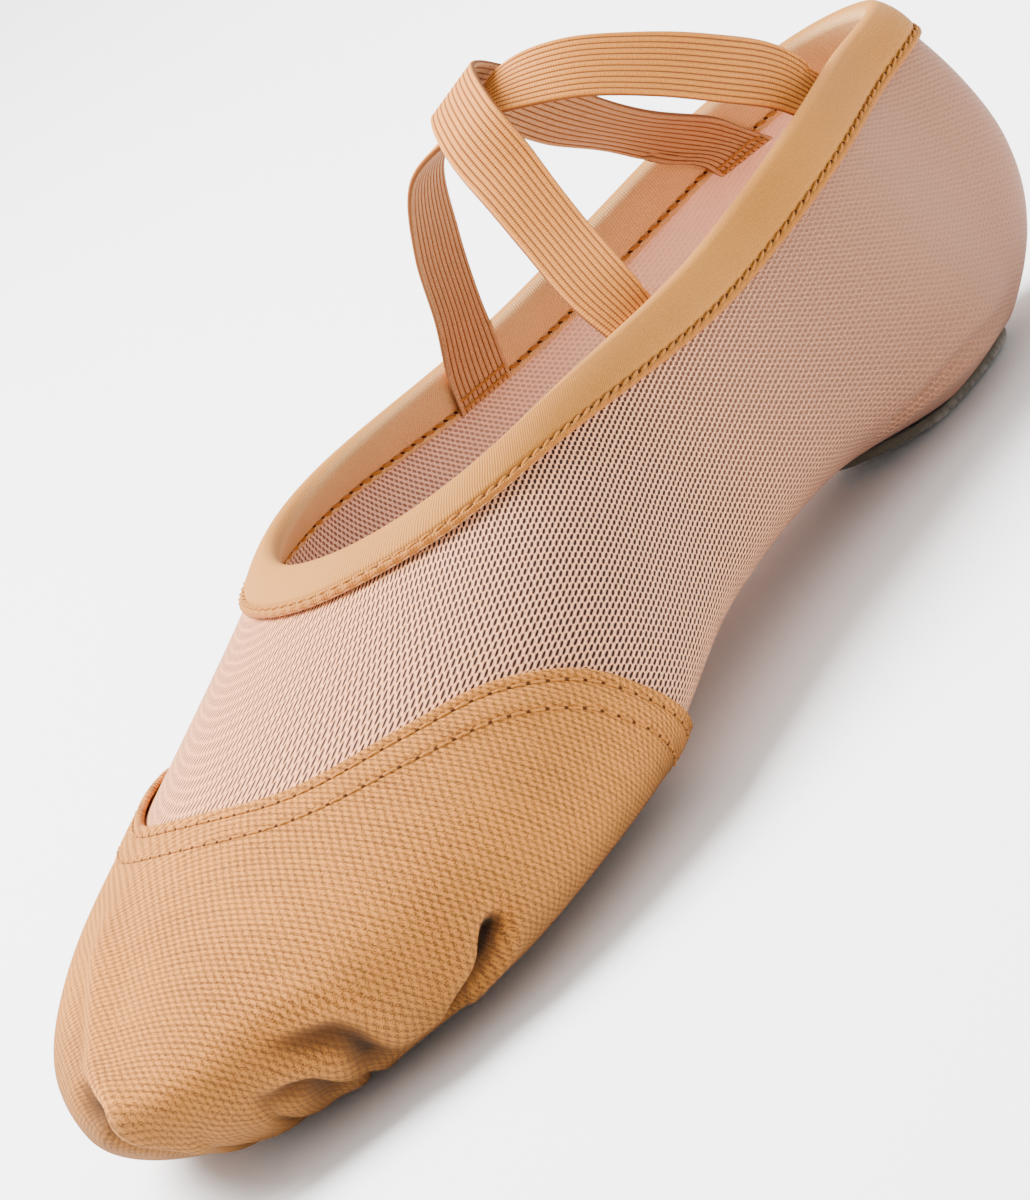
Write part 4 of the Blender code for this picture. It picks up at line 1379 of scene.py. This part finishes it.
def binding_rows(outside, start=0.5):
    """The binding's seam, seen outside or inside, with its slanting stitches."""
    stations = np.linspace(-1, 1, BINDING_COLUMNS + 1)
    paths, distance = columns(stations)
    base = at_distance(paths, distance, np.full((len(stations), 1), SEAM_AT + SEAM_LOWER))
    normal = outward(base)
    height = BINDING_OUTER - SEAM_DEPTH if outside else BINDING_INNER + SEAM_DEPTH
    line = (base + normal * height)[:, 0]
    points, heading, facing = spaced(line, normal[:, 0], SEAM_PITCH, start)
    facing = facing if outside else -facing
    across = unit(np.cross(facing, heading))
    slant = BINDING_SLANT if outside else -BINDING_SLANT
    return points, unit(heading + across * slant), facing


def both_sides(start=0.5):
    """The binding's stitches outside and inside, as one row."""
    return [np.vstack(pair) for pair in zip(binding_rows(True, start), binding_rows(False, start))]


def tack_rows():
    """The stitches across the four ends of the tapes."""
    rows = [spaced(line, normals, TACK_PITCH) for line, normals in TACKS]
    return [np.vstack(column) for column in zip(*rows)]


def sunk(row, depth):
    """A row moved down into the cloth, for its needle holes."""
    points, headings, facings = row
    return points - facings * depth, headings, facings


print("stitches:", len(canvas_rows()[0]), "in the canvas,", len(both_sides()[0]), "in the binding")

# %% [markdown]
# The finishes are drawn with shader nodes. Nodes could be added one by one, but
# then no one could read the sums. A small class wraps a socket, so a formula reads
# as plain sums. Every weave is drawn in the cloth's own millimetres.

# %% Sums with shader sockets
class Wire:
    """A socket of a shader tree that takes sums as a number does."""

    def __init__(self, tree, socket):
        self.tree, self.socket = tree, socket

    def node(self, kind, settings=None, inputs=None):
        """Adds any node: its settings by name, its inputs by name or number."""
        made = self.tree.nodes.new(kind)
        for name, value in (settings or {}).items():
            setattr(made, name, value)
        for name, value in (inputs or {}).items():
            if isinstance(value, Wire):
                self.tree.links.new(value.socket, made.inputs[name])
            else:
                made.inputs[name].default_value = value
        return made

    def wire(self, kind, settings=None, inputs=None):
        return Wire(self.tree, self.node(kind, settings, inputs).outputs[0])

    def math(self, operation, *values):
        return self.wire("ShaderNodeMath", {"operation": operation}, dict(enumerate(values)))

    def __add__(self, other):
        return self.math("ADD", self, other)

    def __radd__(self, other):
        return self.math("ADD", other, self)

    def __sub__(self, other):
        return self.math("SUBTRACT", self, other)

    def __rsub__(self, other):
        return self.math("SUBTRACT", other, self)

    def __mul__(self, other):
        return self.math("MULTIPLY", self, other)

    def __rmul__(self, other):
        return self.math("MULTIPLY", other, self)

    def __truediv__(self, other):
        return self.math("DIVIDE", self, other)

    def __rtruediv__(self, other):
        return self.math("DIVIDE", other, self)

    def power(self, exponent):
        return self.math("POWER", self, exponent)

    def size(self):
        return self.math("ABSOLUTE", self)

    def root(self):
        return self.math("SQRT", self)

    def wave(self):
        """A cosine, one wave for each whole number."""
        return self.math("COSINE", self * (2 * math.pi))

    def from_whole(self):
        """How far from the nearest whole number, minus to plus a half."""
        return self.math("FRACT", self + 0.5) - 0.5

    def ramp(self, low, high):
        """0 at low and below, 1 at high and above, smooth between."""
        return self.wire("ShaderNodeMapRange", {"interpolation_type": "SMOOTHSTEP"}, {
            "Value": self, "From Min": low, "From Max": high,
        })

    def noise(self, scale, detail=2.0, stretch=(1.0, 1.0, 1.0)):
        """Noise at this vector, centred on nought."""
        vector = self.wire("ShaderNodeVectorMath", {"operation": "MULTIPLY"}, {0: self, 1: stretch})
        made = self.wire("ShaderNodeTexNoise", None, {
            "Vector": vector, "Scale": scale, "Detail": detail,
        })
        return made - 0.5

    def parts(self):
        split = self.node("ShaderNodeSeparateXYZ", None, {0: self})
        return [Wire(self.tree, split.outputs[axis]) for axis in range(3)]

    def mixed(self, first, second):
        """A colour between two, by this amount."""
        made = self.node("ShaderNodeMix", {"data_type": "RGBA"}, {0: self})
        for socket, colour in ((6, first), (7, second)):
            if isinstance(colour, Wire):
                self.tree.links.new(colour.socket, made.inputs[socket])
            else:
                made.inputs[socket].default_value = (*colour, 1.0)
        return Wire(self.tree, made.outputs[2])


print("a socket on the right of a number takes", [name for name in vars(Wire) if "__r" in name])

# %% [markdown]
# All cloths here are dull and a little fuzzy, so they share one kind of material: a
# rough surface with some sheen and little shine. A finish has two places to draw
# at. Cloth is the pattern in millimetres, for weaves. Place is the object's own
# space in metres, for clouds and wear that don't follow the threads.

# %% A cloth's finish
SHINE, SHEEN_ROUGHNESS = 0.12, 0.5


class Finish:
    """A cloth's material: its pattern place, its object place and its shader."""

    def __init__(self, name, roughness, sheen=0.0, tint=(1, 1, 1)):
        self.material = bpy.data.materials.new(name)
        self.material.use_nodes = True
        tree = self.material.node_tree
        self.shader = tree.nodes["Principled BSDF"]
        self.shader.inputs["Roughness"].default_value = roughness
        self.shader.inputs["Sheen Weight"].default_value = sheen
        self.shader.inputs["Sheen Roughness"].default_value = SHEEN_ROUGHNESS
        self.shader.inputs["Sheen Tint"].default_value = (*tint, 1.0)
        self.shader.inputs["Specular IOR Level"].default_value = SHINE
        start = tree.nodes.new("ShaderNodeTexCoord")
        self.place = Wire(tree, start.outputs["Object"])
        uv = tree.nodes.new("ShaderNodeUVMap")
        uv.uv_map = "cloth"
        self.cloth = Wire(tree, uv.outputs["UV"])
        self.tree = tree

    def colour(self, wire):
        self.tree.links.new(wire.socket, self.shader.inputs["Base Color"])

    def field(self, name):
        """A value kept at each vertex of the piece."""
        made = self.tree.nodes.new("ShaderNodeAttribute")
        made.attribute_name = name
        return Wire(self.tree, made.outputs["Fac"])

    def relief(self, height, depth):
        """A bump from a height of 0 to 1 that stands depth metres high."""
        bump = height.wire("ShaderNodeBump", None, {
            "Strength": 1.0, "Distance": depth, "Height": height,
        })
        self.tree.links.new(bump.socket, self.shader.inputs["Normal"])

    def done(self):
        """The material, when all is linked."""
        print(self.material.name, len(self.tree.nodes), "nodes,", len(self.tree.links), "links")
        return self.material


print("finishes are for cloth with a shine of", SHINE)

# %% [markdown]
# The mesh is knitted with rows of small slanting holes, each row set half a hole
# on from the one before. A hole could be cut from the shape, but there are tens of
# thousands. So it is an oval at each point of a staggered lattice, painted dark with
# the shade of the inside, and the knots between the holes get a painted highlight.
# Towards the heel the mesh is loose, its holes close, and it gets painted shade.

# %% Stretch mesh
HOLE_ACROSS, HOLE_ALONG = 1.06, 0.89
HOLE_LENGTH, HOLE_WIDTH, HOLE_SLOPE = 0.36, 0.260, 0.46


def lattice(x, y, across, along):
    """The step to the nearest point of a staggered lattice, across and along."""
    a = (x * (0.5 / across) - y * (1 / along)).from_whole()
    b = (x * (0.5 / across) + y * (1 / along)).from_whole()
    return (a + b) * across, (b - a) * (0.5 * along)


def spot(dx, dy, slope, half_length, half_width):
    """0 at the middle of a slanted oval, 1 on its edge."""
    return ((dx / half_length).power(2.0) + ((dy - dx * slope) / half_width).power(2.0)).root()


def mesh_finish():
    finish = Finish("powernet", 0.62, sheen=0.06)
    _, along, _ = finish.place.parts()
    heel_slack_and_shade = along.ramp(0.0, 0.09)
    x, y, _ = finish.cloth.parts()
    wander = finish.cloth.noise(0.25, 1.0)
    x = x + wander * 0.5
    dx, dy = lattice(x, y, HOLE_ACROSS, HOLE_ALONG)
    opened = x.size().ramp(15.0, 60.0)
    slope = (1.0 - heel_slack_and_shade * 1.5) * HOLE_SLOPE
    reach = spot(dx, dy, slope, opened * 0.12 + HOLE_LENGTH, opened * 0.01 + HOLE_WIDTH)
    hole = 1.0 - reach.ramp(0.70, 1.20)
    yarn = finish.cloth.noise(3.5, 2.0)
    turned = x.ramp(-14.0, 8.0) * 0.15 + 0.85
    darkness = hole * (1.0 - heel_slack_and_shade * 0.91) * turned
    tan = opened.mixed((0.70, 0.255, 0.086), (0.84, 0.36, 0.178))
    # Painted shade: the yarn is darker towards the heel
    light = (yarn * 2.2 + 0.62 - heel_slack_and_shade * 0.7).ramp(0.0, 1.0).mixed((0.300, 0.139, 0.083), tan)
    # Painted highlight on the knots between the holes, less of it towards the heel
    knot_highlight = (reach.ramp(1.15, 1.75) + yarn * 1.6).ramp(0.45, 1.1) * (1.0 - heel_slack_and_shade * 0.92)
    light = (knot_highlight * 0.8).mixed(light, opened.mixed((0.96, 0.42, 0.190), (1.0, 0.50, 0.265)))
    # Painted shade: each hole is as dark as the inside of the shoe behind it
    outside = darkness.mixed(light, (0.018, 0.0055, 0.0028))
    inside = darkness.mixed((0.90, 0.60, 0.46), (0.16, 0.070, 0.048))
    finish.colour(finish.field("inside").mixed(outside, inside))
    finish.relief((1.0 - hole) * (1.0 - heel_slack_and_shade * 0.7) + yarn * 0.3, 0.00025)
    return finish.done()


mesh_fabric = mesh_finish()

# %% [markdown]
# Canvas is a plain weave of thick cotton, so it shows as a grid of small beads. An
# image texture would repeat and blur, so two waves that cross make the beads, and
# noise makes the threads uneven. The fields that the cap keeps at its vertices
# paint shade on it where it turns from the light and down in its pleats.

# %% Canvas
def canvas_finish():
    finish = Finish("canvas", 0.85, sheen=0.08, tint=(1.0, 0.8, 0.5))
    x, y, _ = finish.cloth.parts()
    column = (x / THREAD_ACROSS + finish.cloth.noise(0.55, 2.0) * 0.12).wave()
    row = (y / THREAD_ALONG + finish.cloth.noise(0.9, 2.0) * 0.09).wave()
    bead = column * 0.22 + row * 0.26 + column * row * 0.08 + 0.5
    slub = finish.cloth.noise(0.35, 3.0, (0.25, 3.0, 1.0))
    grain = finish.cloth.noise(2.2, 2.0, (1.0, 1.4, 1.0))
    fibre = finish.cloth.noise(6.0, 2.0, (1.2, 0.9, 1.0))
    blotch = finish.place.noise(45.0, 3.0)
    weave = bead + grain * 1.1 + fibre * 3.4
    shade = (weave * 0.98 + slub * 0.5 + blotch * 0.35 + 0.12).ramp(0.0, 1.0)
    cloth = shade.mixed((0.150, 0.047, 0.0088), (0.82, 0.302, 0.0455))
    # Painted shade where the cap turns from the light
    worn = finish.field("worn").mixed(cloth, (0.088, 0.040, 0.0135))
    pit = finish.field("pit")
    # Painted shade down in the pleats, near black in the deepest one
    shaded = (pit.ramp(0.20, 0.72) * 0.85).mixed(worn, (0.098, 0.034, 0.0095))
    finish.colour((pit.ramp(0.70, 1.0) * 0.95).mixed(shaded, (0.026, 0.0085, 0.0035)))
    finish.relief(weave * 0.7 + 0.3, 0.00022)
    return finish.done()


canvas = canvas_finish()

# %% [markdown]
# Where the needle went in, each hole is a small dent beside the thread, and the shade
# in it is painted as a dark bead under the thread. Holes could be cut, but at this
# size the painted bead looks the same. The thread itself is a shade brighter than the
# canvas, with a fine twist.

# %% Thread and needle holes
def needle_finish():
    finish = Finish("needle_hole", 0.9)
    grain = finish.place.noise(1500.0, 2.0)
    # Painted shade inside the needle holes
    finish.colour((grain + 0.5).mixed((0.033, 0.011, 0.0033), (0.077, 0.025, 0.0066)))
    return finish.done()


def thread_finish():
    finish = Finish("thread", 0.75, sheen=0.05)
    twist = finish.place.noise(2500.0, 2.0)
    finish.colour((twist * 1.6 + 0.5).mixed((0.29, 0.100, 0.0145), (0.50, 0.200, 0.034)))
    finish.relief(twist + 0.5, 0.00008)
    return finish.done()


needle, thread = needle_finish(), thread_finish()

# %% [markdown]
# Jersey is a fine knit with ribs along one way and small loops the other way. Both
# are narrower than half a millimetre, so they could only be drawn, as two waves
# that bend a little. The strip is golden outside, darker along its lower edge, and
# pale inside, and the place round its profile tells which.

# %% Jersey binding
RIB_PITCH, LOOP_PITCH = 0.45, 0.42


def jersey_finish():
    finish = Finish("jersey", 0.7, sheen=0.1, tint=(1.0, 0.8, 0.6))
    u, v, _ = finish.cloth.parts()
    bend = finish.cloth.noise(0.12, 2.0)
    rib = ((u + bend * 1.2) / RIB_PITCH).wave() * 0.5 + 0.5
    loop = ((v + rib * 0.15) / LOOP_PITCH).wave() * 0.5 + 0.5
    cloud = finish.place.noise(30.0, 3.0)
    fibre = finish.cloth.noise(3.0, 3.0)
    shade = (rib * 0.34 + loop * 0.14 + fibre * 0.8 + cloud * 0.6 + 0.22).ramp(0.0, 1.0)
    plain = shade.mixed((0.335, 0.122, 0.0165), (0.500, 0.214, 0.0375))
    outside = ((1.0 - v.ramp(0.3, 1.7)) * 0.6).mixed(plain, (0.30, 0.083, 0.0078))
    inside = shade.mixed((0.52, 0.265, 0.098), (0.79, 0.48, 0.215))
    finish.colour(v.ramp(11.5, 13.5).mixed(outside, inside))
    finish.relief(rib * 0.7 + loop * 0.3, 0.00010)
    return finish.done()


jersey = jersey_finish()

# %% [markdown]
# The elastic's ribs are in its shape, and the finish has to meet them. Its lines
# could be drawn by eye, but then they would slide off the ribs. So both count the
# same ribs over the same width: a dark groove between two ribs, and fine threads
# that cross each rib in a shallow arrow.

# %% Ribbed elastic
RIB_WIDTH = TAPE_WIDTH / MM / TAPE_RIBS
CROSS_PITCH = 0.42


def elastic_finish():
    finish = Finish("elastic", 0.6, sheen=0.08, tint=(1.0, 0.8, 0.6))
    u, v, _ = finish.cloth.parts()
    from_groove = (u / RIB_WIDTH + 0.5 * TAPE_RIBS).from_whole().size()
    groove = 1.0 - from_groove.ramp(0.0, 0.26)
    cross = ((v + from_groove * 0.35) / CROSS_PITCH).wave() * 0.5 + 0.5
    strand = ((u / RIB_WIDTH) * 3.0).wave() * 0.5 + 0.5
    fibre = finish.cloth.noise(2.5, 3.0)
    shade = (cross * 0.34 + strand * 0.20 + fibre * 1.1 + 0.36).ramp(0.0, 1.0)
    outside = shade.mixed((0.385, 0.117, 0.0125), (0.660, 0.245, 0.0385))
    inside = shade.mixed((0.31, 0.140, 0.056), (0.57, 0.300, 0.135))
    light = finish.field("inside").mixed(outside, inside)
    finish.colour(groove.mixed(light, (0.18, 0.050, 0.0080)))
    finish.relief((1.0 - groove) * 0.6 + cross * 0.25 + strand * 0.15, 0.00016)
    return finish.done()


elastic = elastic_finish()

# %% [markdown]
# Suede has no weave, only a nap that lies in patches. It gets lighter where it rubs
# the floor, and its cut edge is darker, and the height above the floor tells both.
# The cotton insoles hardly show, so their weave is a plain check of two waves.

# %% Suede and cotton
COTTON_PITCH = 0.0008


def suede_finish():
    finish = Finish("suede", 0.95, sheen=0.15)
    nap = finish.place.noise(900.0, 4.0)
    patchy = finish.place.noise(120.0, 3.0)
    _, _, z = finish.place.parts()
    worn = 1.0 - z.ramp(0.0, 0.0011)
    shade = (nap * 1.3 + patchy * 0.8 + 0.5 + worn * 0.25).ramp(0.0, 1.0)
    face = shade.mixed((0.10, 0.088, 0.070), (0.30, 0.277, 0.242))
    cut = z.ramp(0.0009, 0.0024)
    finish.colour(cut.mixed(face, (0.100, 0.086, 0.064)))
    finish.relief(nap + patchy * 0.5 + 0.5, 0.00020)
    return finish.done()


def cotton_finish():
    finish = Finish("cotton", 0.9, sheen=0.3)
    x, y, _ = finish.place.parts()
    warp = (x / COTTON_PITCH).wave()
    weft = (y / COTTON_PITCH).wave()
    weave = warp * weft * 0.5 + 0.5
    cloud = finish.place.noise(60.0, 3.0)
    shade = (weave * 0.5 + cloud * 0.9 + 0.3).ramp(0.0, 1.0)
    finish.colour(shade.mixed((0.36, 0.175, 0.076), (0.50, 0.30, 0.175)))
    finish.relief(weave, 0.00015)
    return finish.done()


suede, cotton = suede_finish(), cotton_finish()

# %% [markdown]
# Now each piece gets its finish, and the solid it stands for is hidden. A piece
# could be left without that, but then the solid would show through it. The stitches
# stand for no solid. They only ride along with the shoe, and they take their colour
# from their thread.

# %% Dressing the pieces
cloths = {
    "mesh_fabric": mesh_fabric,
    "canvas": canvas,
    "jersey": jersey,
    "elastic": elastic,
    "suede": suede,
    "cotton": cotton,
}
PIECES = (
    (upper, "upper", "mesh_fabric"),
    (cap, "toe_cap", "canvas"),
    (binding, "collar_binding", "jersey"),
    (tape_over, "strap_over", "elastic"),
    (tape_under, "strap_under", "elastic"),
    (pads["forefoot_sole"], "forefoot_sole", "suede"),
    (pads["heel_sole"], "heel_sole", "suede"),
    (pads["forefoot_insole"], "forefoot_insole", "cotton"),
    (pads["heel_insole"], "heel_insole", "cotton"),
)
CANVAS_HOLE_DEPTH, BINDING_HOLE_DEPTH = 0.00012, 0.00010
# slot, name, rows, length, radius, rise and material
STITCHES = (
    ("canvas", "canvas_stitches", canvas_rows(), 0.0026, 0.00021, 0.00024, thread),
    ("canvas", "canvas_needle_holes", sunk(canvas_rows(0.0), CANVAS_HOLE_DEPTH),
     0.0006, 0.00030, 0.00008, needle),
    ("jersey", "binding_stitches", both_sides(), 0.0023, 0.00026, 0.00030, thread),
    ("jersey", "binding_needle_holes", sunk(both_sides(0.0), BINDING_HOLE_DEPTH),
     0.0007, 0.00024, 0.00008, needle),
    ("elastic", "tape_stitches", tack_rows(), 0.0017, 0.00022, 0.00026, thread),
)
stitches = [(slot, stitched(*settings)) for slot, *settings in STITCHES]
for slot, piece in stitches:
    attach(piece, "root")
for piece, node, slot in PIECES:
    piece.data.materials.append(cloths[slot])
    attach(piece, "root")
    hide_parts(node)
print("dressed", len(PIECES), "pieces and", len(stitches), "rows of stitches")

# %% [markdown]
# The shoe stands on white paper. The floor could be a shadow catcher, but a real
# sheet also throws soft light up at the sole. It is only a stage, and doesn't
# belong to the shoe.

# %% Floor
FLOOR_REACH = 3.0


def paper_finish():
    finish = Finish("floor_paper", 0.9)
    grain = finish.place.noise(3.0, 2.0)
    finish.colour((grain + 0.5).mixed((0.93, 0.93, 0.93), (0.97, 0.97, 0.97)))
    return finish.done()


def make_floor():
    mesh = bpy.data.meshes.new("floor")
    far = FLOOR_REACH
    corners = [(-far, -far, 0), (far, -far, 0), (far, far, 0), (-far, far, 0)]
    mesh.from_pydata(corners, [], [(0, 1, 2, 3)])
    floor = link(bpy.data.objects.new("floor", mesh))
    mesh.materials.append(paper_finish())
    floor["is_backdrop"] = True


make_floor()

# %% [markdown]
# The picture has soft light from all round, and a little more from above on the
# outer side, which leaves the side towards us in gentle shade. Several lamps could
# do that, but each would throw a shadow of its own. So there is one large square
# lamp overhead, and a white world gives the rest.

# %% Light
LAMP_PLACE, LAMP_AIM = Vector((-0.55, -0.28, 1.20)), Vector((0, 0, 0.03))
LAMP_SIZE, LAMP_POWER = 0.9, 105
WORLD_STRENGTH = 1.3


def area_light(name, position, aim, size, power):
    data = bpy.data.lights.new(name, "AREA")
    data.shape = "SQUARE"
    data.size = size
    data.energy = power
    light = link(bpy.data.objects.new(name, data))
    light.location = position
    light.rotation_euler = (aim - position).to_track_quat("-Z", "Y").to_euler()


area_light("overhead", LAMP_PLACE, LAMP_AIM, LAMP_SIZE, LAMP_POWER)
world = bpy.data.worlds.new("studio")
bpy.context.scene.world = world
world.use_nodes = True
world.node_tree.nodes["Background"].inputs["Color"].default_value = (1, 1, 1, 1)
world.node_tree.nodes["Background"].inputs["Strength"].default_value = WORLD_STRENGTH
print("one lamp of", LAMP_POWER, "W, world strength", WORLD_STRENGTH)

# %% [markdown]
# The cloth has to fill the same room as the solids. That could be judged by eye,
# but two boxes are surer, so both are printed.

# %% Sizes
visual_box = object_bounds()
for label, box in (("solids", cad_box), ("cloth", visual_box)):
    print(label, "from", [round(v, 4) for v in box[0]], "to", [round(v, 4) for v in box[1]])
